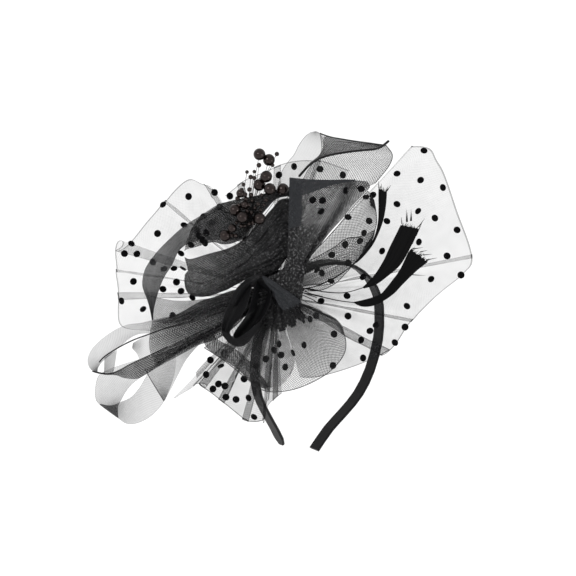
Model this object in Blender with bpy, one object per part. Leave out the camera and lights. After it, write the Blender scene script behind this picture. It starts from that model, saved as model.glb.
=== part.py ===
"""A black feather headband: a satin-wrapped band that carries a large flower of tulle, mesh ribbon,
organza, feathers and beads.

Metres, +Z up. The origin is the crown seat, the middle of the band's underside at its top, where it
sits on the head. +X points from the wearer's right ear to the left one, and the wearer faces -Y.

The flower has a frame of its own, at the knot on the band: right and up lie in its face, and fore
points out of it. Every layer is gathered at the flower's stem, which stands on the base along fore.
Depths are counted in layers, from the front of the base.
"""
import math
from collections import namedtuple

import bmesh
import bpy
from mathutils import Matrix, Vector

# Band
BAND_SPAN = 0.132
BAND_RISE = 0.150
BAND_WIDTH = 0.0108
BAND_THICKNESS = 0.0025
BAND_STATIONS = 2
BAND_CORNER = 0.0009
BAND_TIP_SHARE = 0.5
KNOT_ALONG = 0.341

# The flower's face, turned to the wearer's right front
FACE_TURN = math.radians(-45.0)
FACE_LIFT = math.radians(10.7)
FACE_ROLL = math.radians(10.5)

# Base and stem
CLEARANCE = 0.0003
ROOT_GAP = 0.0006
BASE_RADIUS = 0.019
BASE_THICKNESS = 0.002
BINDING_WALL = 0.002
BINDING_LENGTH = 0.012
BINDING_STATIONS = 4
BASE_SIDES = 24
STEM_RADIUS = 0.0035
STEM_SIDES = 12
LAYER_PITCH = 0.0036
STEM_LAYERS = 12.75

# Cloth and its reach from the knot
CLOTH = 0.001
VEIL_RIGHT_REACH = 0.156
VEIL_LEFT_REACH = 0.125
VEIL_TOP_REACH = 0.109
VEIL_LOW_REACH = 0.109
LOOP_LEFT_REACH = 0.109
LOOP_TOP_REACH = 0.133
PETAL_RIGHT_REACH = 0.109
PETAL_LOW_REACH = 0.094
RIBBON_REACH = 0.156
BUNDLE_REACH = 0.100
DISH_REACH = 0.078
DISH_DIP = 0.4
DISH_CENTRE = 5.6
DISH_INNER_CENTRE = 6.9
LEAF_REACH = 0.117
BUD_REACH = 0.055

# Feathers
FEATHER_REACH = 0.125
FEATHER_WIDTH = 0.0085
QUILL_RADIUS = 0.0006
QUILL_SIDES = 5
QUILL_TIP_SHARE = 0.5
VANE_THICKNESS = 0.0008
LOCK_FOOT = 0.085
LOCK_STEP = 0.12
LOCK_LIFT = 0.0006

# Bead spray
SPRAY_RIGHT = -0.025
SPRAY_UP = 0.042
SPRAY_REACH = 0.109
SPRAY_RADIUS = 0.0018
SPRAY_SIDES = 8
SPRAY_FOOT = 5.0
SPRAY_HEAD = 9.0
LARGE_BEAD = 0.0094
MEDIUM_BEAD = 0.0070
BEAD_SIDES = 10
BEAD_RINGS = 7
WIRE_RADIUS = 0.0005
WIRE_SIDES = 5
WIRE_START = 0.12

BandRow = namedtuple("BandRow", "out up")
# A section of a strip: its two edges, as shares of the strip's reach, and their depths in layers
Section = namedtuple("Section", "a_right a_up a_fore b_right b_up b_fore")
# The end of a strip that is gathered at the stem: the angles of its two edges, and its layer
Root = namedtuple("Root", "a_angle b_angle layer")
# Where a fan is gathered at the stem, and how far its cloth swells forward, both in layers
Gather = namedtuple("Gather", "layer swell")
# A ray of a fan from the stem: the angle it leaves at, and its outer end
Ray = namedtuple("Ray", "angle right up fore")
# Where a dish's rim is stitched to the stem
Touch = namedtuple("Touch", "angle layer")
Rim = namedtuple("Rim", "right up fore")
Bead = namedtuple("Bead", "size right up fore")
# A feather: the angle and layer its quill leaves the stem at, and its vane's width as a share
Plume = namedtuple("Plume", "angle layer width")
Lock = namedtuple("Lock", "start reach spread")

# The band's two tips: out of the half span, up of the rise
RIGHT_TIP = BandRow(out=0.29, up=0.010)
LEFT_TIP = BandRow(out=0.27, up=-0.024)
# Half of the band's centreline, from above a tip to the top
BAND_HALF = (
    BandRow(out=0.45, up=0.09),
    BandRow(out=0.65, up=0.18),
    BandRow(out=0.84, up=0.28),
    BandRow(out=0.96, up=0.41),
    BandRow(out=1.00, up=0.58),
    BandRow(out=0.94, up=0.72),
    BandRow(out=0.85, up=0.815),
    BandRow(out=0.63, up=0.915),
    BandRow(out=0.32, up=0.982),
    BandRow(out=0.00, up=1.00),
)

VEIL_RIGHT_GATHER = Gather(layer=1.0, swell=0.3)
VEIL_RIGHT = (
    Ray(angle=58, right=0.685, up=0.740, fore=-3.0),
    Ray(angle=48, right=0.765, up=0.730, fore=-2.9),
    Ray(angle=41, right=0.800, up=0.670, fore=-1.9),
    Ray(angle=34, right=0.840, up=0.595, fore=-1.7),
    Ray(angle=23, right=0.900, up=0.420, fore=-0.8),
    Ray(angle=11, right=0.975, up=0.190, fore=1.4),
    Ray(angle=2, right=0.930, up=0.100, fore=1.8),
    Ray(angle=-10, right=0.780, up=-0.025, fore=3.4),
    Ray(angle=-22, right=0.660, up=-0.150, fore=3.9),
    Ray(angle=-34, right=0.570, up=-0.270, fore=5.0),
    Ray(angle=-47, right=0.415, up=-0.350, fore=5.0),
    Ray(angle=-61, right=0.215, up=-0.410, fore=5.2),
    Ray(angle=-74, right=0.115, up=-0.415, fore=4.6),
)

VEIL_LEFT_GATHER = Gather(layer=1.6, swell=0.6)
VEIL_LEFT = (
    Ray(angle=125, right=-0.345, up=0.605, fore=-0.4),
    Ray(angle=132, right=-0.485, up=0.700, fore=-1.6),
    Ray(angle=139, right=-0.590, up=0.695, fore=-3.2),
    Ray(angle=149, right=-0.795, up=0.475, fore=-3.2),
    Ray(angle=157, right=-0.910, up=0.340, fore=-5.2),
    Ray(angle=164, right=-1.000, up=0.270, fore=-4.8),
    Ray(angle=172, right=-1.005, up=0.140, fore=-5.4),
    Ray(angle=182, right=-0.995, up=-0.040, fore=-4.0),
    Ray(angle=192, right=-0.975, up=-0.200, fore=-3.2),
    Ray(angle=201, right=-0.790, up=-0.230, fore=-1.4),
)

VEIL_TOP_GATHER = Gather(layer=2.1, swell=0.0)
VEIL_TOP = (
    Ray(angle=118, right=-0.370, up=0.705, fore=-0.4),
    Ray(angle=110, right=-0.245, up=0.805, fore=-1.6),
    Ray(angle=101, right=-0.105, up=0.870, fore=-0.8),
    Ray(angle=90, right=0.095, up=0.945, fore=-1.8),
    Ray(angle=81, right=0.305, up=0.955, fore=-1.0),
    Ray(angle=72, right=0.520, up=0.885, fore=-1.6),
)

VEIL_LOW_GATHER = Gather(layer=2.0, swell=0.2)
VEIL_LOW = (
    Ray(angle=222, right=-0.750, up=-0.745, fore=-0.6),
    Ray(angle=229, right=-0.585, up=-0.650, fore=0.8),
    Ray(angle=237, right=-0.480, up=-0.705, fore=-0.6),
    Ray(angle=245, right=-0.350, up=-0.805, fore=0.4),
    Ray(angle=253, right=-0.215, up=-0.905, fore=-1.2),
    Ray(angle=260, right=-0.105, up=-0.900, fore=-0.2),
    Ray(angle=266, right=-0.050, up=-0.790, fore=-1.0),
    Ray(angle=273, right=0.045, up=-0.700, fore=0.0),
)

CRIN_LOOP_LEFT = (
    Root(a_angle=105, b_angle=150, layer=3.0),
    Section(-0.250, 0.450, 3.0, -0.360, 0.270, 3.0),
    Section(-0.393, 0.650, 3.0, -0.586, 0.350, 3.0),
    Section(-0.671, 0.479, 2.5, -0.679, 0.314, 2.9),
    Section(-0.800, 0.364, 1.9, -0.721, 0.229, 2.6),
    Section(-0.907, 0.236, 1.4, -0.800, 0.129, 2.0),
    Section(-0.957, 0.064, 1.5, -0.857, 0.014, 2.0),
    Section(-0.936, -0.060, 2.5, -0.855, -0.030, 2.6),
    Section(-0.886, -0.186, 3.6, -0.840, -0.045, 3.6),
    Section(-0.693, -0.143, 4.2, -0.600, -0.050, 4.2),
    Root(a_angle=195, b_angle=165, layer=4.3),
)

CRIN_LOOP_TOP = (
    Root(a_angle=100, b_angle=55, layer=3.0),
    Section(0.020, 0.753, 2.4, 0.135, 0.553, 2.6),
    Section(0.118, 0.865, 1.6, 0.265, 0.641, 2.0),
    Section(0.218, 0.960, 1.0, 0.400, 0.682, 1.6),
    Section(0.400, 0.912, 0.7, 0.518, 0.718, 1.2),
    Section(0.559, 0.888, 0.9, 0.606, 0.710, 1.3),
    Section(0.665, 0.850, 2.6, 0.650, 0.700, 2.8),
    Section(0.665, 0.825, 5.2, 0.612, 0.665, 5.2),
    Section(0.580, 0.850, 7.4, 0.488, 0.630, 7.2),
    Section(0.429, 0.838, 8.4, 0.359, 0.600, 8.0),
    Section(0.271, 0.806, 8.2, 0.253, 0.550, 7.8),
    Section(0.165, 0.718, 7.2, 0.190, 0.406, 6.6),
    Root(a_angle=82, b_angle=48, layer=5.2),
)

CRIN_PETAL_RIGHT = (
    Root(a_angle=72, b_angle=30, layer=4.2),
    Section(0.293, 0.500, 4.2, 0.343, 0.229, 4.2),
    Section(0.486, 0.645, 4.2, 0.507, 0.350, 4.2),
    Section(0.643, 0.672, 4.4, 0.585, 0.455, 4.4),
    Section(0.714, 0.571, 5.3, 0.620, 0.450, 5.3),
    Section(0.686, 0.386, 6.2, 0.570, 0.425, 6.2),
    Section(0.557, 0.229, 6.6, 0.400, 0.357, 6.6),
    Section(0.386, 0.071, 6.6, 0.250, 0.264, 6.6),
    Root(a_angle=5, b_angle=48, layer=6.6),
)

CRIN_PETAL_LOW_GATHER = Gather(layer=7.3, swell=0.5)
CRIN_PETAL_LOW = (
    Ray(angle=-14, right=0.300, up=-0.117, fore=8.0),
    Ray(angle=-22, right=0.483, up=-0.208, fore=9.6),
    Ray(angle=-32, right=0.558, up=-0.342, fore=9.2),
    Ray(angle=-42, right=0.558, up=-0.483, fore=10.6),
    Ray(angle=-53, right=0.442, up=-0.633, fore=9.6),
    Ray(angle=-66, right=0.258, up=-0.742, fore=10.8),
    Ray(angle=-80, right=0.067, up=-0.800, fore=9.8),
    Ray(angle=-95, right=-0.117, up=-0.792, fore=10.8),
    Ray(angle=-109, right=-0.267, up=-0.683, fore=9.4),
    Ray(angle=-125, right=-0.433, up=-0.550, fore=9.4),
    Ray(angle=-139, right=-0.600, up=-0.442, fore=8.4),
)

CRIN_FOLD_LOW_GATHER = Gather(layer=6.2, swell=0.1)
CRIN_FOLD_LOW = (
    Ray(angle=-40, right=0.440, up=-0.470, fore=7.2),
    Ray(angle=-54, right=0.330, up=-0.530, fore=6.4),
    Ray(angle=-66, right=0.190, up=-0.650, fore=7.4),
    Ray(angle=-80, right=0.060, up=-0.640, fore=6.6),
    Ray(angle=-94, right=-0.060, up=-0.700, fore=7.4),
    Ray(angle=-112, right=-0.310, up=-0.570, fore=6.4),
    Ray(angle=-132, right=-0.460, up=-0.470, fore=7.0),
)

RIBBON_LOOP_UPPER = (
    Root(a_angle=165, b_angle=197, layer=7.9),
    Section(-0.385, -0.040, 8.0, -0.360, -0.150, 8.0),
    Section(-0.625, -0.130, 8.2, -0.545, -0.195, 8.0),
    Section(-0.745, -0.155, 8.8, -0.685, -0.240, 8.4),
    Section(-0.870, -0.220, 9.5, -0.795, -0.300, 9.0),
    Section(-0.940, -0.310, 9.5, -0.870, -0.345, 9.2),
    Section(-0.945, -0.365, 8.4, -0.875, -0.370, 8.2),
    Section(-0.895, -0.410, 7.0, -0.825, -0.380, 7.0),
    Section(-0.785, -0.390, 6.3, -0.745, -0.345, 6.4),
    Section(-0.635, -0.320, 6.4, -0.635, -0.250, 6.6),
    Section(-0.385, -0.230, 6.8, -0.385, -0.140, 6.8),
    Root(a_angle=209, b_angle=178, layer=6.8),
)

RIBBON_LOOP_LOWER = (
    Root(a_angle=178, b_angle=208, layer=5.0),
    Section(-0.360, -0.120, 5.0, -0.350, -0.220, 5.0),
    Section(-0.635, -0.280, 4.3, -0.585, -0.350, 4.3),
    Section(-0.800, -0.365, 3.5, -0.685, -0.420, 3.7),
    Section(-0.890, -0.430, 2.8, -0.755, -0.490, 3.2),
    Section(-0.905, -0.520, 2.3, -0.790, -0.540, 2.8),
    Section(-0.845, -0.600, 2.9, -0.780, -0.555, 3.2),
    Section(-0.735, -0.648, 4.2, -0.745, -0.535, 4.2),
    Section(-0.625, -0.605, 5.2, -0.700, -0.480, 5.0),
    Section(-0.555, -0.530, 5.7, -0.645, -0.400, 5.6),
    Section(-0.435, -0.340, 5.9, -0.525, -0.255, 5.8),
    Section(-0.275, -0.205, 5.9, -0.325, -0.130, 5.9),
    Root(a_angle=212, b_angle=182, layer=5.9),
)

RIBBON_BUNDLE = (
    Section(-0.990, -0.210, 9.8, -0.930, -0.610, 9.6),
    Section(-0.760, -0.150, 9.2, -0.740, -0.500, 9.2),
    Section(-0.560, -0.070, 9.3, -0.550, -0.380, 9.3),
    Section(-0.330, -0.020, 9.2, -0.300, -0.220, 9.2),
    Root(a_angle=165, b_angle=205, layer=9.2),
)

DISH_TOUCH = Touch(angle=135, layer=6.6)
DISH_RIM = (
    Rim(-0.370, 0.010, 6.9),
    Rim(-0.620, -0.030, 7.2),
    Rim(-0.800, -0.050, 8.0),
    Rim(-0.930, 0.090, 8.0),
    Rim(-0.910, 0.320, 8.6),
    Rim(-0.870, 0.590, 8.2),
    Rim(-0.720, 0.820, 8.6),
    Rim(-0.370, 0.960, 8.0),
    Rim(-0.090, 1.010, 8.2),
    Rim(0.100, 1.040, 8.0),
    Rim(0.140, 0.690, 7.0),
    Rim(0.120, 0.320, 6.8),
)

DISH_INNER_RIM = (
    Rim(-0.720, 0.320, 8.0),
    Rim(-0.630, 0.540, 8.2),
    Rim(-0.420, 0.690, 7.9),
    Rim(-0.150, 0.790, 8.2),
    Rim(0.090, 0.870, 8.0),
    Rim(0.110, 0.590, 8.2),
    Rim(0.080, 0.290, 8.0),
    Rim(-0.150, 0.110, 8.2),
    Rim(-0.450, 0.080, 7.9),
    Rim(-0.650, 0.170, 8.2),
)

ORGANZA_LEAF = (
    Section(0.080, 0.777, 12.4, 0.613, 0.720, 12.0),
    Section(0.080, 0.693, 11.8, 0.527, 0.653, 12.0),
    Section(0.083, 0.540, 10.9, 0.427, 0.540, 11.2),
    Section(0.080, 0.360, 10.2, 0.320, 0.380, 10.4),
    Section(0.073, 0.193, 9.8, 0.207, 0.233, 9.9),
    Root(a_angle=85, b_angle=42, layer=9.7),
)

BUD_PETAL_BACK = (
    Root(a_angle=150, b_angle=186, layer=10.1),
    Section(-0.214, 0.200, 10.1, -0.214, -0.150, 10.1),
    Section(-0.457, 0.250, 10.0, -0.486, -0.257, 10.0),
    Section(-0.614, 0.120, 10.3, -0.660, -0.240, 10.2),
)

BUD_PETAL_LEFT = (
    Root(a_angle=226, b_angle=196, layer=10.2),
    Section(-0.360, -0.650, 10.2, -0.340, -0.330, 10.3),
    Section(-0.600, -0.750, 10.3, -0.450, -0.440, 10.6),
    Section(-0.780, -0.620, 10.5, -0.520, -0.430, 10.9),
    Section(-0.800, -0.330, 10.9, -0.510, -0.330, 11.2),
    Section(-0.690, -0.057, 11.2, -0.430, -0.140, 11.6),
    Section(-0.557, 0.130, 11.4, -0.357, 0.140, 11.6),
)

BUD_PETAL_RIGHT = (
    Root(a_angle=240, b_angle=205, layer=11.5),
    Section(-0.250, -0.620, 11.6, -0.190, -0.340, 11.6),
    Section(-0.420, -0.690, 11.7, -0.280, -0.420, 11.8),
    Section(-0.530, -0.550, 12.0, -0.300, -0.400, 12.0),
    Section(-0.480, -0.310, 12.3, -0.210, -0.310, 12.2),
    Section(-0.370, -0.057, 12.5, -0.140, -0.070, 12.4),
    Section(-0.386, 0.200, 12.5, -0.110, 0.180, 12.4),
)

ORGANZA_TAIL = (
    Section(-0.330, 0.243, 13.4, -0.386, 0.057, 13.4),
    Section(-0.100, 0.186, 13.1, -0.186, -0.070, 13.1),
    Section(0.157, 0.043, 13.1, -0.030, -0.200, 13.1),
    Section(0.370, -0.114, 13.0, 0.057, -0.286, 12.9),
)

BEADS = (
    Bead(LARGE_BEAD, -0.124, 0.992, 11.0),
    Bead(LARGE_BEAD, -0.057, 0.953, 10.2),
    Bead(LARGE_BEAD, -0.076, 0.834, 11.2),
    Bead(LARGE_BEAD, -0.126, 0.775, 10.4),
    Bead(LARGE_BEAD, -0.050, 0.745, 11.6),
    Bead(LARGE_BEAD, 0.042, 0.745, 10.6),
    Bead(LARGE_BEAD, -0.299, 0.597, 10.4),
    Bead(LARGE_BEAD, -0.245, 0.544, 11.4),
    Bead(LARGE_BEAD, -0.124, 0.535, 11.2),
    Bead(LARGE_BEAD, -0.369, 0.414, 10.0),
    Bead(MEDIUM_BEAD, -0.257, 0.716, 10.4),
    Bead(MEDIUM_BEAD, -0.319, 0.467, 10.8),
    Bead(MEDIUM_BEAD, -0.230, 0.633, 10.4),
)

FEATHER_SHORT = Plume(angle=27, layer=9.05, width=0.7)
FEATHER_MIDDLE = Plume(angle=8, layer=8.5, width=1.9)
FEATHER_LONG = Plume(angle=-11, layer=7.75, width=2.0)
# A feather's shaft, from near the stem to its tip, as shares of the feathers' reach
SHAFT_SHORT = ((0.175, 0.045), (0.490, 0.195), (0.615, 0.370), (0.670, 0.670))
SHAFT_MIDDLE = (
    (0.145, 0.030), (0.430, 0.020), (0.600, 0.095), (0.725, 0.190), (0.820, 0.340), (0.855, 0.510),
)
SHAFT_LONG = (
    (0.150, 0.010), (0.330, -0.030), (0.520, -0.055), (0.675, -0.005), (0.800, 0.140), (0.920, 0.275),
)

# Locks of the vane: where each starts on the shaft, how far on it ends, and how wide it spreads
LOCKS = (
    Lock(start=0.46, reach=0.14, spread=0.45),
    Lock(start=0.55, reach=0.16, spread=0.70),
    Lock(start=0.64, reach=0.18, spread=0.95),
    Lock(start=0.73, reach=0.20, spread=1.15),
    Lock(start=0.82, reach=0.18, spread=1.25),
    Lock(start=0.90, reach=0.10, spread=0.80),
)

BLACK = (0.010, 0.010, 0.012, 1.0)
SOFT_BLACK = (0.028, 0.028, 0.032, 1.0)
NET_GREY = (0.110, 0.110, 0.118, 1.0)
TULLE_GREY = (0.420, 0.420, 0.430, 1.0)
BEAD_BROWN = (0.018, 0.012, 0.010, 1.0)


def finish(name, colour, roughness, metallic=0.0):
    """A plain material of one colour."""
    material = bpy.data.materials.new(name)
    material.use_nodes = True
    shader = material.node_tree.nodes["Principled BSDF"]
    shader.inputs["Base Color"].default_value = colour
    shader.inputs["Roughness"].default_value = roughness
    shader.inputs["Metallic"].default_value = metallic
    return material


def link(name, mesh, material=None):
    """An object for a mesh, in the scene's own collection."""
    thing = bpy.data.objects.new(name, mesh)
    bpy.context.collection.objects.link(thing)
    if material is not None:
        mesh.materials.append(material)
    return thing


def smooth_through(points, steps, closed=False):
    """Points on a smooth curve through the given ones, steps to each stretch."""
    count = len(points)
    stretches = count if closed else count - 1
    found = []
    for i in range(stretches):
        before = points[i - 1] if closed or i > 0 else points[0]
        start = points[i]
        end = points[(i + 1) % count]
        after = points[(i + 2) % count] if closed or i + 2 < count else points[-1]
        for k in range(steps):
            t = k / steps
            found.append(
                0.5
                * (
                    2.0 * start
                    + (end - before) * t
                    + (2.0 * before - 5.0 * start + 4.0 * end - after) * t * t
                    + (3.0 * start - before - 3.0 * end + after) * t ** 3
                )
            )
    if not closed:
        found.append(points[-1].copy())
    return found


def band_line():
    """The band's centreline from the right ear's tip over the crown to the left ear's."""
    half_span = BAND_SPAN / 2.0
    top = BAND_RISE - BAND_THICKNESS / 2.0
    rows = [(-row.out, row.up) for row in (RIGHT_TIP,) + BAND_HALF]
    rows += [(row.out, row.up) for row in BAND_HALF[-2::-1] + (LEFT_TIP,)]
    points = [Vector((out * half_span, 0.0, up * BAND_RISE - top)) for out, up in rows]
    return smooth_through(points, BAND_STATIONS)


def along(line, share):
    """The point and direction at a share of a line's length."""
    lengths = [0.0]
    for start, end in zip(line, line[1:]):
        lengths.append(lengths[-1] + (end - start).length)
    wanted = share * lengths[-1]
    for i, (start, end) in enumerate(zip(line, line[1:])):
        if lengths[i + 1] >= wanted:
            t = (wanted - lengths[i]) / (lengths[i + 1] - lengths[i])
            return start.lerp(end, t), (end - start).normalized()
    return line[-1].copy(), (line[-1] - line[-2]).normalized()


BAND_LINE = band_line()
KNOT, KNOT_DIRECTION = along(BAND_LINE, KNOT_ALONG)

FORE = Vector((
    math.sin(FACE_TURN) * math.cos(FACE_LIFT),
    -math.cos(FACE_TURN) * math.cos(FACE_LIFT),
    math.sin(FACE_LIFT),
))
LEVEL = Vector((math.cos(FACE_TURN), math.sin(FACE_TURN), 0.0))
UPRIGHT = FORE.cross(LEVEL)
RIGHT = math.cos(FACE_ROLL) * LEVEL + math.sin(FACE_ROLL) * UPRIGHT
UP = FORE.cross(RIGHT)

BASE_BACK = BAND_WIDTH / 2.0 + BAND_THICKNESS / 2.0
BASE_FRONT = BASE_BACK + BASE_THICKNESS


def depth(layers):
    """How far in front of the band a layer lies."""
    return BASE_FRONT + layers * LAYER_PITCH


def place(right, up, fore):
    """A point of the flower's frame in the world, all three in metres."""
    return KNOT + right * RIGHT + up * UP + fore * FORE


def at_stem(angle, layer, spread=0.0):
    """A point just clear of the stem; spread is half the angle to the other edge of its strip."""
    turn = math.radians(angle)
    radius = (STEM_RADIUS + ROOT_GAP) / math.cos(math.radians(spread))
    return place(radius * math.cos(turn), radius * math.sin(turn), depth(layer))


def edges(row, reach):
    """The two edge points of a strip's row."""
    if isinstance(row, Root):
        spread = abs(row.a_angle - row.b_angle) / 2.0
        return at_stem(row.a_angle, row.layer, spread), at_stem(row.b_angle, row.layer, spread)
    a = place(row.a_right * reach, row.a_up * reach, depth(row.a_fore))
    b = place(row.b_right * reach, row.b_up * reach, depth(row.b_fore))
    return a, b


def sheet(name, a_edge, b_edge, across, closed, material, belly=None):
    """Cloth between two edges, given a wall. belly gives how far a point across bows out."""
    mesh = bpy.data.meshes.new(name)
    bm = bmesh.new()
    grid = []
    for a, b in zip(a_edge, b_edge):
        row = []
        for k in range(across + 1):
            s = k / across
            point = a.lerp(b, s)
            if belly is not None:
                point += belly(s) * FORE
            row.append(bm.verts.new(point))
        grid.append(row)
    if closed:
        grid.append(grid[0])
    for row, after in zip(grid, grid[1:]):
        for k in range(across):
            bm.faces.new((row[k], row[k + 1], after[k + 1], after[k]))
    bm.normal_update()
    bm.to_mesh(mesh)
    bm.free()
    cloth = link(name, mesh, material)
    wall = cloth.modifiers.new("wall", "SOLIDIFY")
    wall.thickness = CLOTH
    wall.offset = 0.0
    mesh.shade_smooth()
    return cloth


def strip(name, rows, reach, material, steps=2, across=3):
    """A ribbon through sections, gathered at the stem where a row is a root."""
    pairs = [edges(row, reach) for row in rows]
    a_edge = smooth_through([a for a, _ in pairs], steps)
    b_edge = smooth_through([b for _, b in pairs], steps)
    return sheet(name, a_edge, b_edge, across, False, material)


def fan(name, rays, gather, reach, material, steps=2, across=4):
    """Cloth gathered round the stem that opens out to the rays' ends."""
    ends = [place(ray.right * reach, ray.up * reach, depth(ray.fore)) for ray in rays]
    outer = smooth_through(ends, steps)
    inner = smooth_through([at_stem(ray.angle, gather.layer) for ray in rays], steps)

    def belly(s):
        return gather.swell * LAYER_PITCH * 4.0 * s * (1.0 - s)

    return sheet(name, outer, inner, across, False, material, belly)


def saucer(name, rims, centre_layer, touch, material, steps=2, across=4):
    """A dished round of mesh about the spray's foot, which it lets through."""
    points = [place(rim.right * DISH_REACH, rim.up * DISH_REACH, depth(rim.fore)) for rim in rims]
    if touch is not None:
        points.append(at_stem(touch.angle, touch.layer))
    rim_edge = smooth_through(points, steps, closed=True)
    centre = place(SPRAY_RIGHT, SPRAY_UP, depth(centre_layer))
    hole = SPRAY_RADIUS + 2.0 * CLEARANCE
    inner = []
    for point in rim_edge:
        reach = point - centre
        flat = Vector((reach.dot(RIGHT), reach.dot(UP))).normalized()
        inner.append(centre + hole * (flat.x * RIGHT + flat.y * UP))

    def belly(s):
        return -DISH_DIP * LAYER_PITCH * 4.0 * s * (1.0 - s)

    return sheet(name, rim_edge, inner, across, True, material, belly)


def box_section(width, thickness, corner):
    """A flat strip's section with its four corners cut, across and outward."""
    w = width / 2.0
    t = thickness / 2.0
    return [
        (-w, -t + corner), (-w + corner, -t), (w - corner, -t), (w, -t + corner),
        (w, t - corner), (w - corner, t), (-w + corner, t), (-w, t - corner),
    ]


def sweep(line, section, first=1.0, last=1.0):
    """A closed solid of one section along a line in the XZ plane; the ends may narrow."""
    bm = bmesh.new()
    rings = []
    count = len(line)
    for i, point in enumerate(line):
        before = line[max(i - 1, 0)]
        after = line[min(i + 1, count - 1)]
        way = (after - before).normalized()
        across = Vector((0.0, 1.0, 0.0))
        outward = across.cross(way)
        narrow = first if i == 0 else last if i == count - 1 else 1.0
        rings.append([bm.verts.new(point + narrow * w * across + t * outward) for w, t in section])
    sides = len(section)
    for ring, after in zip(rings, rings[1:]):
        for k in range(sides):
            bm.faces.new((ring[k], ring[(k + 1) % sides], after[(k + 1) % sides], after[k]))
    bm.faces.new(rings[0])
    bm.faces.new(rings[-1])
    bmesh.ops.recalc_face_normals(bm, faces=bm.faces)
    return bm


def to_object(name, bm, material=None):
    """Writes a bmesh out as an object."""
    mesh = bpy.data.meshes.new(name)
    bm.to_mesh(mesh)
    bm.free()
    return link(name, mesh, material)


def cutter(thing):
    """Marks an object as a tool for another's Boolean, not a piece."""
    thing.hide_render = True
    thing.display_type = "WIRE"
    return thing


def combine(thing, tool, operation):
    """Joins a tool to an object, or cuts it away."""
    step = thing.modifiers.new(operation.lower(), "BOOLEAN")
    step.operation = operation
    step.object = cutter(tool)
    step.solver = "EXACT"


def tube(points, radius, sides, tip=1.0):
    """A closed round bar along points; tip is its last radius as a share of the first."""
    bm = bmesh.new()
    rings = []
    count = len(points)
    way = (points[1] - points[0]).normalized()
    side = way.orthogonal().normalized()
    for i, point in enumerate(points):
        before = points[max(i - 1, 0)]
        after = points[min(i + 1, count - 1)]
        way = (after - before).normalized()
        side = (side - side.dot(way) * way).normalized()
        other = way.cross(side)
        r = radius * (1.0 + (tip - 1.0) * i / (count - 1))
        ring = []
        for k in range(sides):
            turn = 2.0 * math.pi * k / sides
            ring.append(bm.verts.new(point + r * (math.cos(turn) * side + math.sin(turn) * other)))
        rings.append(ring)
    for ring, after in zip(rings, rings[1:]):
        for k in range(sides):
            bm.faces.new((ring[k], ring[(k + 1) % sides], after[(k + 1) % sides], after[k]))
    bm.faces.new(rings[0])
    bm.faces.new(rings[-1])
    bmesh.ops.recalc_face_normals(bm, faces=bm.faces)
    return bm


def make_headband(satin):
    """The band: its right tip is drawn in, its left tip is cut square."""
    section = box_section(BAND_WIDTH, BAND_THICKNESS, BAND_CORNER)
    band = to_object("headband", sweep(BAND_LINE, section, first=BAND_TIP_SHARE), satin)
    band.data.shade_smooth()
    band.data.set_sharp_from_angle(angle=math.radians(40.0))


def make_base(felt):
    """Base, binding round the band and bound stem, in one piece."""
    facing = Matrix((RIGHT, UP, FORE)).transposed().to_4x4()
    bm = bmesh.new()
    bmesh.ops.create_cone(
        bm, cap_ends=True, segments=BASE_SIDES,
        radius1=BASE_RADIUS, radius2=BASE_RADIUS, depth=BASE_THICKNESS,
    )
    bmesh.ops.transform(bm, matrix=facing, verts=bm.verts)
    middle = place(0.0, 0.0, BASE_BACK + BASE_THICKNESS / 2.0)
    bmesh.ops.translate(bm, vec=middle, verts=bm.verts)
    base = to_object("flower_base", bm, felt)

    half = BINDING_LENGTH / 2.0 / line_length(BAND_LINE)
    turns = range(BINDING_STATIONS + 1)
    shares = [KNOT_ALONG + half * (2.0 * k / BINDING_STATIONS - 1.0) for k in turns]
    stretch = [along(BAND_LINE, share)[0] for share in shares]
    wall = CLEARANCE + BINDING_WALL
    outer_section = box_section(BAND_WIDTH + 2.0 * wall, BAND_THICKNESS + 2.0 * wall, BAND_CORNER)
    combine(base, to_object("binding_outer", sweep(stretch, outer_section)), "UNION")

    low = place(0.0, 0.0, BASE_FRONT - BASE_THICKNESS / 2.0)
    high = place(0.0, 0.0, depth(STEM_LAYERS))
    combine(base, to_object("stem_bar", tube([low, high], STEM_RADIUS, STEM_SIDES)), "UNION")

    inner_section = box_section(
        BAND_WIDTH + 2.0 * CLEARANCE, BAND_THICKNESS + 2.0 * CLEARANCE, BAND_CORNER / 2.0
    )
    combine(base, to_object("binding_inner", sweep(BAND_LINE, inner_section)), "DIFFERENCE")


def line_length(line):
    """A line's length."""
    return sum((end - start).length for start, end in zip(line, line[1:]))


def make_veils(tulle):
    """The four gathered stretches of dotted tulle."""
    fan("veil_right", VEIL_RIGHT, VEIL_RIGHT_GATHER, VEIL_RIGHT_REACH, tulle)
    fan("veil_left", VEIL_LEFT, VEIL_LEFT_GATHER, VEIL_LEFT_REACH, tulle)
    fan("veil_top", VEIL_TOP, VEIL_TOP_GATHER, VEIL_TOP_REACH, tulle)
    fan("veil_low", VEIL_LOW, VEIL_LOW_GATHER, VEIL_LOW_REACH, tulle)


def make_mesh_ribbon(net):
    """Loops and petals of mesh ribbon."""
    strip("crin_loop_left", CRIN_LOOP_LEFT, LOOP_LEFT_REACH, net)
    strip("crin_loop_top", CRIN_LOOP_TOP, LOOP_TOP_REACH, net)
    strip("crin_petal_right", CRIN_PETAL_RIGHT, PETAL_RIGHT_REACH, net)
    fan("crin_petal_low", CRIN_PETAL_LOW, CRIN_PETAL_LOW_GATHER, PETAL_LOW_REACH, net)
    fan("crin_fold_low", CRIN_FOLD_LOW, CRIN_FOLD_LOW_GATHER, PETAL_LOW_REACH, net)
    strip("ribbon_loop_upper", RIBBON_LOOP_UPPER, RIBBON_REACH, net)
    strip("ribbon_loop_lower", RIBBON_LOOP_LOWER, RIBBON_REACH, net)
    strip("ribbon_bundle", RIBBON_BUNDLE, BUNDLE_REACH, net)


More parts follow.
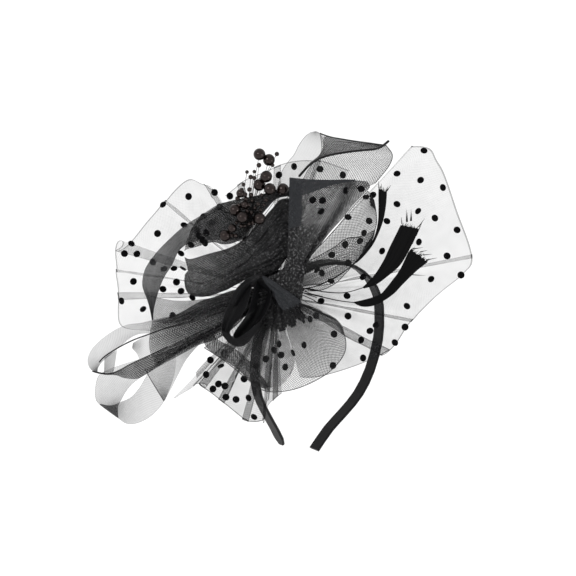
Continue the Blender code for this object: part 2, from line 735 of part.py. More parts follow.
def make_dishes(net):
    """The two saucers of dark mesh under the beads."""
    saucer("dish", DISH_RIM, DISH_CENTRE, DISH_TOUCH, net)
    saucer("dish_inner", DISH_INNER_RIM, DISH_INNER_CENTRE, None, net)


def make_organza(organza):
    """Leaf, bud and tail."""
    strip("organza_leaf", ORGANZA_LEAF, LEAF_REACH, organza)
    strip("bud_petal_back", BUD_PETAL_BACK, BUD_REACH, organza)
    strip("bud_petal_left", BUD_PETAL_LEFT, BUD_REACH, organza)
    strip("bud_petal_right", BUD_PETAL_RIGHT, BUD_REACH, organza)
    strip("organza_tail", ORGANZA_TAIL, BUD_REACH, organza)


def make_feather(name, plume, shaft, material):
    """A quill with a vane of locks on both sides, fused to it."""
    fore = depth(plume.layer)
    width = plume.width * FEATHER_WIDTH
    points = [at_stem(plume.angle, plume.layer)]
    points += [place(right * FEATHER_REACH, up * FEATHER_REACH, fore) for right, up in shaft]
    line = smooth_through(points, 2)
    feather = to_object(name, tube(line, QUILL_RADIUS, QUILL_SIDES, tip=QUILL_TIP_SHARE), material)
    bm = bmesh.new()
    for side in (-1.0, 1.0):
        for number, lock in enumerate(LOCKS):
            foot, _ = along(line, lock.start)
            heel, way = along(line, min(lock.start + LOCK_FOOT, 1.0))
            far, far_way = along(line, min(lock.start + lock.reach, 1.0))
            out = FORE.cross(far_way).normalized() * side
            tip = far + out * lock.spread * width / 2.0
            inward = FORE.cross(way).normalized() * side * QUILL_RADIUS
            corners = [foot - inward, heel - inward, tip]
            lift = VANE_THICKNESS / 2.0 * (1.0 + LOCK_STEP * (number % 3)) * FORE
            tip += LOCK_LIFT * (1.0 if (number % 2 == 0) == (side > 0.0) else -1.0) * FORE
            lower = [bm.verts.new(corner - lift) for corner in corners]
            upper = [bm.verts.new(corner + lift) for corner in corners]
            bm.faces.new(lower)
            bm.faces.new(upper)
            for k in range(3):
                j = (k + 1) % 3
                bm.faces.new((lower[k], lower[j], upper[j], upper[k]))
    bmesh.ops.recalc_face_normals(bm, faces=bm.faces)
    combine(feather, to_object(name + "_locks", bm), "UNION")
    feather.modifiers["union"].use_self = True


def make_beads(glass):
    """Beads on wires that fan out of one foot, fused in one piece."""
    foot = place(SPRAY_RIGHT, SPRAY_UP, depth(SPRAY_FOOT))
    head = place(SPRAY_RIGHT, SPRAY_UP, depth(SPRAY_HEAD))
    spray = to_object("bead_spray", tube([foot, head], SPRAY_RADIUS, SPRAY_SIDES), glass)
    parts = bpy.data.collections.new("spray_parts")
    bpy.context.scene.collection.children.link(parts)
    for i, bead in enumerate(BEADS):
        centre = place(bead.right * SPRAY_REACH, bead.up * SPRAY_REACH, depth(bead.fore))
        start = head.lerp(foot, WIRE_START)
        wire = tube([start, centre], WIRE_RADIUS, WIRE_SIDES)
        ball = bmesh.new()
        bmesh.ops.create_uvsphere(
            ball, u_segments=BEAD_SIDES, v_segments=BEAD_RINGS, radius=bead.size / 2.0
        )
        bmesh.ops.translate(ball, vec=centre, verts=ball.verts)
        for part in (to_object(f"wire_{i}", wire), to_object(f"ball_{i}", ball)):
            cutter(part)
            bpy.context.collection.objects.unlink(part)
            parts.objects.link(part)
    step = spray.modifiers.new("union", "BOOLEAN")
    step.operation = "UNION"
    step.operand_type = "COLLECTION"
    step.collection = parts
    step.solver = "EXACT"


def main():
    """Clears the scene and makes every piece."""
    for thing in list(bpy.data.objects):
        bpy.data.objects.remove(thing, do_unlink=True)
    satin = finish("band_satin", BLACK, 0.35)
    felt = finish("base_felt", BLACK, 0.9)
    tulle = finish("dotted_tulle", TULLE_GREY, 0.8)
    net = finish("mesh_ribbon", NET_GREY, 0.6)
    organza = finish("organza", SOFT_BLACK, 0.5)
    plume = finish("feather", BLACK, 0.7)
    glass = finish("bead", BEAD_BROWN, 0.12)
    make_headband(satin)
    make_base(felt)
    make_veils(tulle)
    make_mesh_ribbon(net)
    make_dishes(net)
    make_organza(organza)
    make_feather("feather_short", FEATHER_SHORT, SHAFT_SHORT, plume)
    make_feather("feather_middle", FEATHER_MIDDLE, SHAFT_MIDDLE, plume)
    make_feather("feather_long", FEATHER_LONG, SHAFT_LONG, plume)
    make_beads(glass)


main()
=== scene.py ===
# %% [markdown]
# # A feather headband with a tulle flower
# The real thing is a satin-covered band that carries a big flower of dotted tulle, mesh ribbon, organza,
# three feathers and a spray of beads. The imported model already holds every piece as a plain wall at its
# real size. This lesson dresses each one. Short tables of lines shape a finer sheet, and the sheet then
# becomes what it is: a net of real strands, a see-through veil, or crisp organza.

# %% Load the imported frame
import math
import random
from collections import namedtuple

import bmesh
import bpy
from mathutils import Matrix, Vector, noise
from mathutils.bvhtree import BVHTree


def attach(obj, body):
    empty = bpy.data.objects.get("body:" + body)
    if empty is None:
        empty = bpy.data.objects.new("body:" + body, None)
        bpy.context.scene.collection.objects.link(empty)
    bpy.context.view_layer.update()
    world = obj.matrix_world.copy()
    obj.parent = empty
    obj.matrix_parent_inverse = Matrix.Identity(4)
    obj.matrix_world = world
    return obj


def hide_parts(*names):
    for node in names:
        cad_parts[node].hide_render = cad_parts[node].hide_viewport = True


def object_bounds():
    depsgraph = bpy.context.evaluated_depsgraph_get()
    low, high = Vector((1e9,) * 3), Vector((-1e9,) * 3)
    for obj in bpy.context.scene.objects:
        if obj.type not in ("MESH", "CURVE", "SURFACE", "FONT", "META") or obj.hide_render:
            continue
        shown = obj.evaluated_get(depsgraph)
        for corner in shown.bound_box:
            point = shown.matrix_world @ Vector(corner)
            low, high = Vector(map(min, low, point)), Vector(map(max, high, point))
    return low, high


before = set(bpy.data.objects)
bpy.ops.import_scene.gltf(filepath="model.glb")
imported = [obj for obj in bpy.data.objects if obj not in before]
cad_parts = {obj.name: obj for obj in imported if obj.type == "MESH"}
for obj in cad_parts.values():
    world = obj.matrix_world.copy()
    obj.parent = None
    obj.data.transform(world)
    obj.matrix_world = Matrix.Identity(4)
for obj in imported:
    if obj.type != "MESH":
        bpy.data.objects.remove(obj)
cad_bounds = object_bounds()
print("solids:", len(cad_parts), "from", [round(c, 3) for c in cad_bounds[0]])

# %% [markdown]
# The flower lies in a plane of its own, turned to the wearer's right front. Its three directions are
# worked out from three angles, so every piece can be placed by how far right, up and fore of the knot it
# lies. Depths are counted in layers from the front of the base, as the cloth is stacked.

# %% The flower's own directions
FACE_TURN = math.radians(-45.0)
FACE_LIFT = math.radians(10.7)
FACE_ROLL = math.radians(10.5)
KNOT = Vector((-0.05474, 0.0, -0.02483))
BASE_FRONT = 0.00865
LAYER_PITCH = 0.0036
FORE = Vector((
    math.sin(FACE_TURN) * math.cos(FACE_LIFT),
    -math.cos(FACE_TURN) * math.cos(FACE_LIFT),
    math.sin(FACE_LIFT),
))
LEVEL = Vector((math.cos(FACE_TURN), math.sin(FACE_TURN), 0.0))
RIGHT = math.cos(FACE_ROLL) * LEVEL + math.sin(FACE_ROLL) * FORE.cross(LEVEL)
UP = FORE.cross(RIGHT)


def depth(layers):
    """How far in front of the knot a layer lies."""
    return BASE_FRONT + layers * LAYER_PITCH


def place(right, up, fore):
    """A point of the flower's frame, all three in metres."""
    return KNOT + right * RIGHT + up * UP + fore * FORE


# %% [markdown]
# The camera looks straight at the flower's face from far off with a long lens, as a product photographer
# does, so the layers keep their places in the picture. What is read off the photograph is a pixel; a ray
# through that pixel says where a dot or a hem lies on the cloth it belongs to.

# %% Camera
PHOTO_SIZE = 576
PHOTO_KNOT = Vector((277.0, 294.0))
PIXELS_PER_METRE = 1280.0
LENS = 400.0
SENSOR = 36.0
DISTANCE = LENS / SENSOR * PHOTO_SIZE / PIXELS_PER_METRE

middle = Vector((PHOTO_SIZE / 2.0, PHOTO_SIZE / 2.0))
target = place(
    (middle.x - PHOTO_KNOT.x) / PIXELS_PER_METRE, (PHOTO_KNOT.y - middle.y) / PIXELS_PER_METRE, 0.0
)
camera = bpy.data.objects.new("camera", bpy.data.cameras.new("camera"))
bpy.context.scene.collection.objects.link(camera)
camera.data.lens = LENS
camera.data.sensor_width = SENSOR
camera.location = target + DISTANCE * FORE
camera.rotation_euler = Matrix((RIGHT, UP, FORE)).transposed().to_euler()
camera.data.clip_end = 60.0
bpy.context.scene.camera = camera
print("camera stands", round(DISTANCE, 2), "m away")


def on_face(x, y, layer):
    """The point at a depth that shows at a pixel of the photograph."""
    flat = place((x - PHOTO_KNOT.x) / PIXELS_PER_METRE, (PHOTO_KNOT.y - y) / PIXELS_PER_METRE, 0.0)
    share = depth(layer) / DISTANCE
    return flat.lerp(camera.location, share)


# %% [markdown]
# The photograph has a pure white ground and soft light from all round, with two softboxes that show as
# twin glints on the beads. A white world does the first, and two area lights the second. The floor lies
# well below the band's tips, because a headband on show is held up.

# %% Light and floor
WORLD_LIGHT = 1.1
FLOOR_DROP = 0.30
FLOOR_REACH = 16.0
SoftBox = namedtuple("SoftBox", "right up fore size power")
SOFT_BOXES = (
    SoftBox(right=-1.05, up=0.70, fore=1.60, size=0.40, power=12.0),
    SoftBox(right=1.55, up=-0.30, fore=1.20, size=0.40, power=9.0),
)


def plain_shader(name, colour, roughness, gloss=0.15):
    """A material with one Principled shader, and that shader."""
    material = bpy.data.materials.new(name)
    material.use_nodes = True
    shader = material.node_tree.nodes["Principled BSDF"]
    shader.inputs["Base Color"].default_value = (*colour, 1.0)
    shader.inputs["Roughness"].default_value = roughness
    shader.inputs["Specular IOR Level"].default_value = gloss
    return material, shader


world = bpy.data.worlds.new("white studio")
world.use_nodes = True
world.node_tree.nodes["Background"].inputs["Color"].default_value = (1.0, 1.0, 1.0, 1.0)
world.node_tree.nodes["Background"].inputs["Strength"].default_value = WORLD_LIGHT
bpy.context.scene.world = world
bpy.context.scene.view_settings.view_transform = "Standard"
bpy.context.scene.cycles.transparent_max_bounces = 40

for number, box in enumerate(SOFT_BOXES):
    lamp = bpy.data.lights.new(f"soft box {number}", "AREA")
    lamp.size = box.size
    lamp.energy = box.power
    stand = bpy.data.objects.new(lamp.name, lamp)
    stand.location = place(box.right, box.up, box.fore)
    stand.rotation_euler = (KNOT - stand.location).to_track_quat("-Z", "Y").to_euler()
    bpy.context.scene.collection.objects.link(stand)

floor_bm = bmesh.new()
bmesh.ops.create_grid(floor_bm, x_segments=4, y_segments=4, size=FLOOR_REACH)
bmesh.ops.translate(floor_bm, vec=(0.0, 0.0, cad_bounds[0].z - FLOOR_DROP), verts=floor_bm.verts)
floor_mesh = bpy.data.meshes.new("floor")
floor_bm.to_mesh(floor_mesh)
floor_bm.free()
floor = bpy.data.objects.new("floor", floor_mesh)
bpy.context.scene.collection.objects.link(floor)
floor_white, _ = plain_shader("floor white", (0.98, 0.98, 0.98), 0.9)
floor_mesh.materials.append(floor_white)
print("floor at", round(cad_bounds[0].z - FLOOR_DROP, 3))

# %% [markdown]
# Cloth is made from a grid, and a smooth curve fills in between the few points that are given. The
# grid's steps are spaced evenly by length, because woven cells are all of one size however the ribbon
# turns.

# %% Smooth curves and even steps
Gather = namedtuple("Gather", "layer swell")
Ray = namedtuple("Ray", "angle right up fore")

STEM_RADIUS = 0.0035
ROOT_GAP = 0.0006
FINE_STEPS = 16


def at_stem(angle, layer):
    """A point just clear of the stem."""
    turn = math.radians(angle)
    radius = STEM_RADIUS + ROOT_GAP
    return place(radius * math.cos(turn), radius * math.sin(turn), depth(layer))


def curve_at(points, step):
    """The point on a smooth curve through the points, at a step counted from the first one."""
    count = len(points)
    i = min(int(step), count - 2)
    t = step - i
    before = points[max(i - 1, 0)]
    start = points[i]
    end = points[i + 1]
    after = points[min(i + 2, count - 1)]
    return 0.5 * (
        2.0 * start
        + (end - before) * t
        + (2.0 * before - 5.0 * start + 4.0 * end - after) * t * t
        + (3.0 * start - before - 3.0 * end + after) * t ** 3
    )


def even_steps(points, count):
    """Steps along the curve that are one length apart."""
    stretches = len(points) - 1
    fine = [k / FINE_STEPS for k in range(stretches * FINE_STEPS + 1)]
    places = [curve_at(points, step) for step in fine]
    lengths = [0.0]
    for start, end in zip(places, places[1:]):
        lengths.append(lengths[-1] + (end - start).length)
    steps = []
    i = 0
    for k in range(count + 1):
        wanted = lengths[-1] * k / count
        while i < len(fine) - 2 and lengths[i + 1] < wanted:
            i += 1
        share = (wanted - lengths[i]) / max(lengths[i + 1] - lengths[i], 1e-9)
        steps.append(fine[i] + min(share, 1.0) * (fine[i + 1] - fine[i]))
    return steps, lengths[-1]


# %% [markdown]
# A gathered veil fans out from the stem to the ends of its rays. Everything else is lofted: a few lines
# along the cloth, each at its own depth, and a smooth sheet through them. A line is written in the
# photograph's pixels, because that is where its place was read, and on_face turns it into metres.

# %% Grids for fans and lofts
RIBBON_EDGE = 0.012
HEM_EDGE = 0.015
PETAL_EDGE = 0.018
Cloth = namedtuple("Cloth", "grid length width area shares")
Line = namedtuple("Line", "layers spots")


def columns_between(count, margin_a, margin_b):
    """Shares across the cloth, with a narrow column at each side that has a margin."""
    shares = [k / count for k in range(count + 1)]
    low = [0.0, margin_a] if margin_a > 0.0 else [0.0]
    high = [1.0 - margin_b, 1.0] if margin_b > 0.0 else [1.0]
    return low + [s for s in shares if margin_a < s < 1.0 - margin_b and 0.0 < s < 1.0] + high


def grid_area(grid):
    """The area of a grid of points."""
    total = 0.0
    for row, after in zip(grid, grid[1:]):
        for k in range(len(row) - 1):
            total += (row[k + 1] - row[k]).cross(after[k] - row[k]).length / 2.0
            total += (row[k + 1] - after[k + 1]).cross(after[k] - after[k + 1]).length / 2.0
    return total


def fan_cloth(rays, gather, reach, along, across, margin=0.0):
    """Cloth gathered round the stem that opens out to the rays' ends."""
    ends = [place(ray.right * reach, ray.up * reach, depth(ray.fore)) for ray in rays]
    roots = [at_stem(ray.angle, gather.layer) for ray in rays]
    steps, rim = even_steps(ends, along)
    shares = columns_between(across, margin, 0.0)
    grid = []
    for step in steps:
        outer = curve_at(ends, step)
        inner = curve_at(roots, step)
        row = []
        for s in shares:
            swell = gather.swell * LAYER_PITCH * 4.0 * s * (1.0 - s)
            row.append(outer.lerp(inner, s) + swell * FORE)
        grid.append(row)
    width = max((row[-1] - row[0]).length for row in grid)
    return Cloth(grid, rim, width, grid_area(grid), shares)


def line_points(line):
    """A line's points in metres, its depth running smoothly through the layers it names."""
    last = max(len(line.spots) - 1, 1)
    layers = [Vector((layer, 0.0, 0.0)) for layer in line.layers]
    if len(layers) == 1:
        layers = layers * 2
    return [
        on_face(x, y, curve_at(layers, k / last * (len(layers) - 1)).x)
        for k, (x, y) in enumerate(line.spots)
    ]


def loft_cloth(lines, along, across, margin_a=0.0, margin_b=0.0):
    """A sheet through lines, spaced evenly along them and across them."""
    rails = []
    length = 0.0
    for line in lines:
        points = line_points(line)
        steps, this_length = even_steps(points, along)
        rails.append([curve_at(points, step) for step in steps])
        length = max(length, this_length)
    spans = [[rail[r] for rail in rails] for r in range(along + 1)]
    widths = [sum((b - a).length for a, b in zip(span, span[1:])) for span in spans]
    widest = widths.index(max(widths))
    fine, width = even_steps(spans[widest], 100)
    shares = columns_between(across, margin_a, margin_b)
    grid = []
    for span in spans:
        row = []
        for share in shares:
            k = min(int(share * 100), 99)
            step = fine[k] + (share * 100 - k) * (fine[k + 1] - fine[k])
            row.append(curve_at(span, step))
        grid.append(row)
    return Cloth(grid, length, width, grid_area(grid), shares)


# %% [markdown]
# Folds make cloth look like cloth. A fold is an S: the sheet slides forward, back under itself and forward
# again, so three layers overlap along a line. Gathers are many shallow waves that are deepest near the
# thread that draws them in. A slow unevenness on top keeps any stretch from being quite flat.

# %% Folds, gathers and unevenness
Fold = namedtuple("Fold", "x y overlap")
FOLD_SLIDE = 2.54
FOLD_LIFT = 0.0022
FOLD_REACH = 5.0


def grid_frames(grid):
    """The unit tangents along and across, and the normal, at each point of a grid."""
    rows = len(grid) - 1
    columns = len(grid[0]) - 1
    frames = []
    for r in range(rows + 1):
        line = []
        for c in range(columns + 1):
            along = grid[min(r + 1, rows)][c] - grid[max(r - 1, 0)][c]
            across = grid[r][min(c + 1, columns)] - grid[r][max(c - 1, 0)]
            normal = across.cross(along).normalized()
            if normal.dot(FORE) < 0.0:
                normal = -normal
            line.append((along.normalized(), across.normalized(), normal))
        frames.append(line)
    return frames


def fold_fan(cloth, folds):
    """The fan with a fold at each named spot of its rim, dying away towards the stem."""
    frames = grid_frames(cloth.grid)
    rows = len(cloth.grid) - 1
    step = cloth.length / rows
    rim = [row[0] for row in cloth.grid]
    marks = []
    for fold in folds:
        spot = on_face(fold.x, fold.y, 0.0)
        offsets = [point - spot for point in rim]
        gaps = [(offset - offset.dot(FORE) * FORE).length for offset in offsets]
        nearest = gaps.index(min(gaps))
        marks.append((nearest * step, fold.overlap))
    grid = []
    for r, row in enumerate(cloth.grid):
        line = []
        for c, point in enumerate(row):
            along, _, normal = frames[r][c]
            weight = (1.0 - cloth.shares[c]) ** 0.8
            slide = 0.0
            lift = 0.0
            for at, overlap in marks:
                x = (r * step - at) / overlap
                if abs(x) < FOLD_REACH:
                    slide -= FOLD_SLIDE * overlap * x * math.exp(-x * x)
                    lift += FOLD_LIFT * x * math.exp(-x * x / 3.0)
            line.append(point + weight * (slide * along + lift * normal))
        grid.append(line)
    return cloth._replace(grid=grid)


def wave_cloth(cloth, count, height, lengthwise, fade, seed=0.0, drift=0.6):
    """The cloth with shallow gathers, count of them, whose spacing drifts a little."""
    frames = grid_frames(cloth.grid)
    rows = len(cloth.grid) - 1
    grid = []
    for r, row in enumerate(cloth.grid):
        line = []
        for c, point in enumerate(row):
            share = cloth.shares[c]
            u = share if lengthwise else r / rows
            v = r / rows if lengthwise else share
            wander = drift * noise.noise(Vector((u * 6.0, v * 2.0, seed)))
            wave = math.sin(2.0 * math.pi * (count * u + wander) + seed)
            line.append(point + height * fade(r / rows, share) * wave * frames[r][c][2])
        grid.append(line)
    return cloth._replace(grid=grid)


def rough_cloth(cloth, height, size, seed=0.0):
    """The cloth with slow bumps of a height, size metres apart."""
    frames = grid_frames(cloth.grid)
    shift = Vector((seed, 0.0, 0.0))
    grid = []
    for row, line in zip(cloth.grid, frames):
        grid.append([p + height * noise.noise(p / size + shift) * f[2] for p, f in zip(row, line)])
    return cloth._replace(grid=grid)


# %% [markdown]
# The grid becomes a mesh with one bmesh grid whose vertices are moved. Its UV map is in metres of flat
# cloth, so a weave stays at its real size. Each vertex also knows how many times as dense the cloth is
# there: a gathered net is darker because more threads share the same space.

# %% From a grid to a mesh
MOST_DRAWN = 6.0


def moved_grid(bm, columns, rows, point_at):
    """A new grid in the bmesh whose vertex in a column and row goes where point_at says."""
    made = bmesh.ops.create_grid(bm, x_segments=columns, y_segments=rows, size=1.0)
    spots = {}
    for vert in made["verts"]:
        c = round((vert.co.x + 1.0) * columns / 2.0)
        r = round((vert.co.y + 1.0) * rows / 2.0)
        spots[vert] = (c, r)
        vert.co = point_at(c, r)
    return spots


def even_weave(r, c):
    """Cloth that is as dense all over as its threads make it."""
    return 1.0


def add_cloth(bm, cloth, index=0, dense=even_weave, edge=None):
    """Adds the cloth to the bmesh. dense says how many layers' worth lies where; edge is the hem's index."""
    uv_layer = bm.loops.layers.uv.get("flat") or bm.loops.layers.uv.new("flat")
    drawn_layer = bm.verts.layers.float.get("drawn") or bm.verts.layers.float.new("drawn")
    grid = cloth.grid
    rows = len(grid) - 1
    columns = len(grid[0]) - 1
    spots = moved_grid(bm, columns, rows, lambda c, r: grid[r][c])
    flat_step = cloth.length / rows
    for vert, (c, r) in spots.items():
        low, high = max(r - 1, 0), min(r + 1, rows)
        step = (grid[high][c] - grid[low][c]).length / (high - low)
        full = sum((b - a).length for a, b in zip(grid[r], grid[r][1:]))
        drawn = max(flat_step / max(step, 1e-5), 1.0) * max(cloth.width / max(full, 1e-5), 1.0)
        vert[drawn_layer] = min(drawn, MOST_DRAWN) * dense(r / rows, cloth.shares[c])
    faces = {face for vert in spots for face in vert.link_faces}
    for face in faces:
        face.material_index = index
        face.smooth = True
        marks = [spots[vert] for vert in face.verts]
        if edge is not None:
            at_a = cloth.shares[1] < 0.02 and all(c <= 1 for c, _ in marks)
            at_b = cloth.shares[-2] > 0.98 and all(c >= columns - 1 for c, _ in marks)
            if at_a or at_b:
                face.material_index = edge
        for loop in face.loops:
            c, r = spots[loop.vert]
            loop[uv_layer].uv = (cloth.length * r / rows, cloth.width * cloth.shares[c])
    return spots


def finish_piece(name, bm, node, materials):
    """Writes a bmesh out as a piece that rides on the body and stands for a solid, which it hides."""
    mesh = bpy.data.meshes.new(name)
    bm.to_mesh(mesh)
    bm.free()
    piece = bpy.data.objects.new(name, mesh)
    bpy.context.scene.collection.objects.link(piece)
    for material in materials:
        mesh.materials.append(material)
    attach(piece, "root")
    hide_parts(node)
    triangles = sum(len(face.vertices) - 2 for face in mesh.polygons)
    print(name, "has", triangles, "triangles")
    return piece


# %% [markdown]
# Every cloth here lets light through between its threads, so the weave lives in the shader's alpha: two
# sets of threads on the bias over a thin haze of the threads too fine to draw. Where the cloth is drawn in
# the haze thickens. A slow noise makes it cloudy, because no gathered net is even, and a sharper noise
# paints glints into the base colour: a painted highlight where the odd thread would catch the light.

# %% A see-through weave
def node_of(tree, kind, **settings):
    """A new node with its settings."""
    node = tree.nodes.new(kind)
    for key, value in settings.items():
        setattr(node, key, value)
    return node


def math_node(tree, operation, first, second=None):
    """A Math node on links or numbers, and its result."""
    node = node_of(tree, "ShaderNodeMath", operation=operation)
    for socket, value in zip(node.inputs, (first, second)):
        if value is None:
            continue
        if isinstance(value, (int, float)):
            socket.default_value = value
        else:
            tree.links.new(value, socket)
    return node.outputs[0]


def noise_node(tree, scale, detail=2.0):
    """Noise on Object coordinates."""
    spots = node_of(tree, "ShaderNodeTexCoord")
    made = node_of(tree, "ShaderNodeTexNoise")
    made.inputs["Scale"].default_value = scale
    made.inputs["Detail"].default_value = detail
    tree.links.new(spots.outputs["Object"], made.inputs["Vector"])
    return made.outputs["Fac"]


CLOUD_SCALE = 160.0
GLINT_SCALE = 620.0
GLINT_FOCUS = 7.0
# glint is the strength of the painted highlight that is mixed into the base colour.
Weave = namedtuple("Weave", "pitch thread haze cover cloud glint bias")


def weave_material(name, colour, roughness, gloss, weave):
    """Cloth whose alpha is a haze between its threads and nearly full on them."""
    material, shader = plain_shader(name, colour, roughness, gloss)
    tree = material.node_tree
    uv = node_of(tree, "ShaderNodeUVMap", uv_map="flat")
    parts = node_of(tree, "ShaderNodeSeparateXYZ")
    tree.links.new(uv.outputs["UV"], parts.inputs[0])
    drawn = node_of(tree, "ShaderNodeAttribute", attribute_name="drawn").outputs["Fac"]
    u, v = parts.outputs["X"], parts.outputs["Y"]
    ways = (u, v)
    step = weave.pitch
    if weave.bias:
        ways = (math_node(tree, "ADD", u, v), math_node(tree, "SUBTRACT", u, v))
        step = weave.pitch * math.sqrt(2.0)
    threads = []
    for way in ways:
        cell = math_node(tree, "FRACT", math_node(tree, "DIVIDE", way, step))
        threads.append(math_node(tree, "LESS_THAN", cell, weave.thread / weave.pitch))
    mask = math_node(tree, "MAXIMUM", *threads)
    cloudy = math_node(tree, "SUBTRACT", noise_node(tree, CLOUD_SCALE), 0.5)
    cloudy = math_node(tree, "MULTIPLY", cloudy, weave.cloud)
    layers = math_node(tree, "MULTIPLY", drawn, math_node(tree, "ADD", cloudy, 1.0))
    through = math_node(tree, "MULTIPLY", mask, weave.haze - weave.cover)
    through = math_node(tree, "ADD", through, 1.0 - weave.haze)
    alpha = math_node(tree, "SUBTRACT", 1.0, math_node(tree, "POWER", through, layers))
    tree.links.new(alpha, shader.inputs["Alpha"])
    # Painted highlight: a sharp noise lifts the base colour towards pale grey in small spots, as glints of
    # light on the threads.
    if weave.glint > 0.0:
        painted_glint = math_node(tree, "POWER", noise_node(tree, GLINT_SCALE, 1.0), GLINT_FOCUS)
        painted_glint_mix = node_of(tree, "ShaderNodeMix", data_type="RGBA")
        tree.links.new(math_node(tree, "MULTIPLY", painted_glint, weave.glint), painted_glint_mix.inputs["Factor"])
        painted_glint_mix.inputs[6].default_value = (*colour, 1.0)
        painted_glint_mix.inputs[7].default_value = (0.50, 0.50, 0.51, 1.0)
        tree.links.new(painted_glint_mix.outputs[2], shader.inputs["Base Color"])
    return material


BLACK = (0.0030, 0.0030, 0.0034)
SOFT_BLACK = (0.008, 0.008, 0.009)
tulle = weave_material(
    "dotted tulle", SOFT_BLACK, 0.7, 0.1,
    Weave(0.0013, 0.00016, 0.14, 0.32, 0.6, 0.0, True),
)
tulle_edge = weave_material(
    "tulle edge", SOFT_BLACK, 0.7, 0.1,
    Weave(0.0013, 0.0003, 0.46, 0.66, 0.4, 0.0, True),
)
fine_mesh = weave_material(
    "fine mesh", SOFT_BLACK, 0.5, 0.2,
    Weave(0.0011, 0.00026, 0.36, 0.62, 0.35, 0.0, True),
)
film_mesh = weave_material(
    "film of mesh", SOFT_BLACK, 0.5, 0.2,
    Weave(0.0012, 0.0002, 0.20, 0.36, 0.3, 0.0, True),
)
selvedge = weave_material(
    "woven edge", SOFT_BLACK, 0.5, 0.2,
    Weave(0.0006, 0.0003, 0.72, 0.90, 0.0, 0.0, True),
)
dark_mesh = weave_material("dark mesh", BLACK, 0.5, 0.12, Weave(0.0014, 0.0006, 0.58, 0.94, 0.7, 0.9, True))
organza = weave_material(
    "organza", (0.003, 0.003, 0.0035), 0.6, 0.1,
    Weave(0.0005, 0.0003, 0.90, 0.97, 0.1, 0.0, False),
)
# The lip is organza painted paler: a painted highlight where a folded lip catches the light.
organza_painted_highlight = weave_material(
    "organza painted highlight", (0.022, 0.022, 0.024), 0.6, 0.12,
    Weave(0.0005, 0.0003, 0.90, 0.98, 0.0, 0.0, False),
)
organza_hem = weave_material(
    "organza hem", (0.016, 0.017, 0.019), 0.65, 0.1,
    Weave(0.0005, 0.0003, 0.80, 0.92, 0.5, 0.25, False),
)
crumple_sheer = weave_material(
    "crumpled sheer", (0.02, 0.02, 0.022), 0.25, 0.6,
    Weave(0.0007, 0.0003, 0.34, 0.55, 1.2, 0.5, False),
)

# %% [markdown]
# The dots are flock: short fibres glued on in round spots about 6 mm across. Each is a thin disc laid on
# the cloth where it shows, so it turns with the folds and shows as an oval where the cloth runs away.

# %% Flocked dots
DOT_RADIUS = 0.00285
DOT_HEIGHT = 0.0004
DOT_SIDES = 14
DOT_TILT = 0.75

flock, flock_shader = plain_shader("flocked dot", (0.0022, 0.0022, 0.0025), 0.95, 0.05)
flock_bump = node_of(flock.node_tree, "ShaderNodeBump")
flock_bump.inputs["Strength"].default_value = 0.6
flock_bump.inputs["Distance"].default_value = 0.0002
flock.node_tree.links.new(noise_node(flock.node_tree, 2500.0), flock_bump.inputs["Height"])
flock.node_tree.links.new(flock_bump.outputs["Normal"], flock_shader.inputs["Normal"])


def flock_dots(bm, dots, material_index, seed):
    """Lays discs on the cloth in the bmesh, where a ray through each pixel first meets it."""
    dice = random.Random(seed)
    bm.normal_update()
    tree = BVHTree.FromBMesh(bm)
    laid = 0
    for x, y in dots:
        way = (on_face(x, y, 0.0) - camera.location).normalized()
        hit, normal, _, _ = tree.ray_cast(camera.location, way)
        if hit is None:
            continue
        if normal.dot(FORE) < 0.0:
            normal = -normal
        lean = dice.uniform(-DOT_TILT, DOT_TILT) * RIGHT + dice.uniform(-DOT_TILT, DOT_TILT) * UP
        normal = (normal + lean).normalized()
        turn = normal.to_track_quat("Z", "Y").to_matrix().to_4x4()
        made = bmesh.ops.create_cone(
            bm, cap_ends=True, segments=DOT_SIDES,
            radius1=DOT_RADIUS, radius2=DOT_RADIUS * 0.94, depth=DOT_HEIGHT,
            matrix=Matrix.Translation(hit + FORE * DOT_HEIGHT) @ turn,
        )
        for face in {face for vert in made["verts"] for face in vert.link_faces}:
            face.material_index = material_index
        laid += 1
    print("  dots laid:", laid, "of", len(dots))


# %% [markdown]
# ## The dotted veils
# Four stretches of black tulle stand behind the flower like wings. Each is cut as a sector, gathered to
# nothing at the stem, and nearly clear: one layer dims the white behind it by about a seventh. What draws
# them in the picture is their dots, their edges and the places where they fold over themselves.

# %% The veils' shapes
VEIL_RIGHT_REACH = 0.156
VEIL_LEFT_REACH = 0.125
VEIL_TOP_REACH = 0.109
VEIL_LOW_REACH = 0.109
VEIL_RIGHT = (
    Ray(angle=58, right=0.685, up=0.740, fore=-3.0),
    Ray(angle=48, right=0.765, up=0.730, fore=-2.9),
    Ray(angle=41, right=0.800, up=0.670, fore=-1.9),
    Ray(angle=34, right=0.840, up=0.595, fore=-1.7),
    Ray(angle=23, right=0.900, up=0.420, fore=-0.8),
    Ray(angle=11, right=0.975, up=0.190, fore=1.4),
    Ray(angle=2, right=0.930, up=0.100, fore=1.8),
    Ray(angle=-10, right=0.780, up=-0.025, fore=3.4),
    Ray(angle=-22, right=0.660, up=-0.150, fore=3.9),
    Ray(angle=-34, right=0.570, up=-0.270, fore=5.0),
    Ray(angle=-47, right=0.415, up=-0.350, fore=5.0),
    Ray(angle=-61, right=0.215, up=-0.410, fore=5.2),
    Ray(angle=-74, right=0.115, up=-0.415, fore=4.6),
)
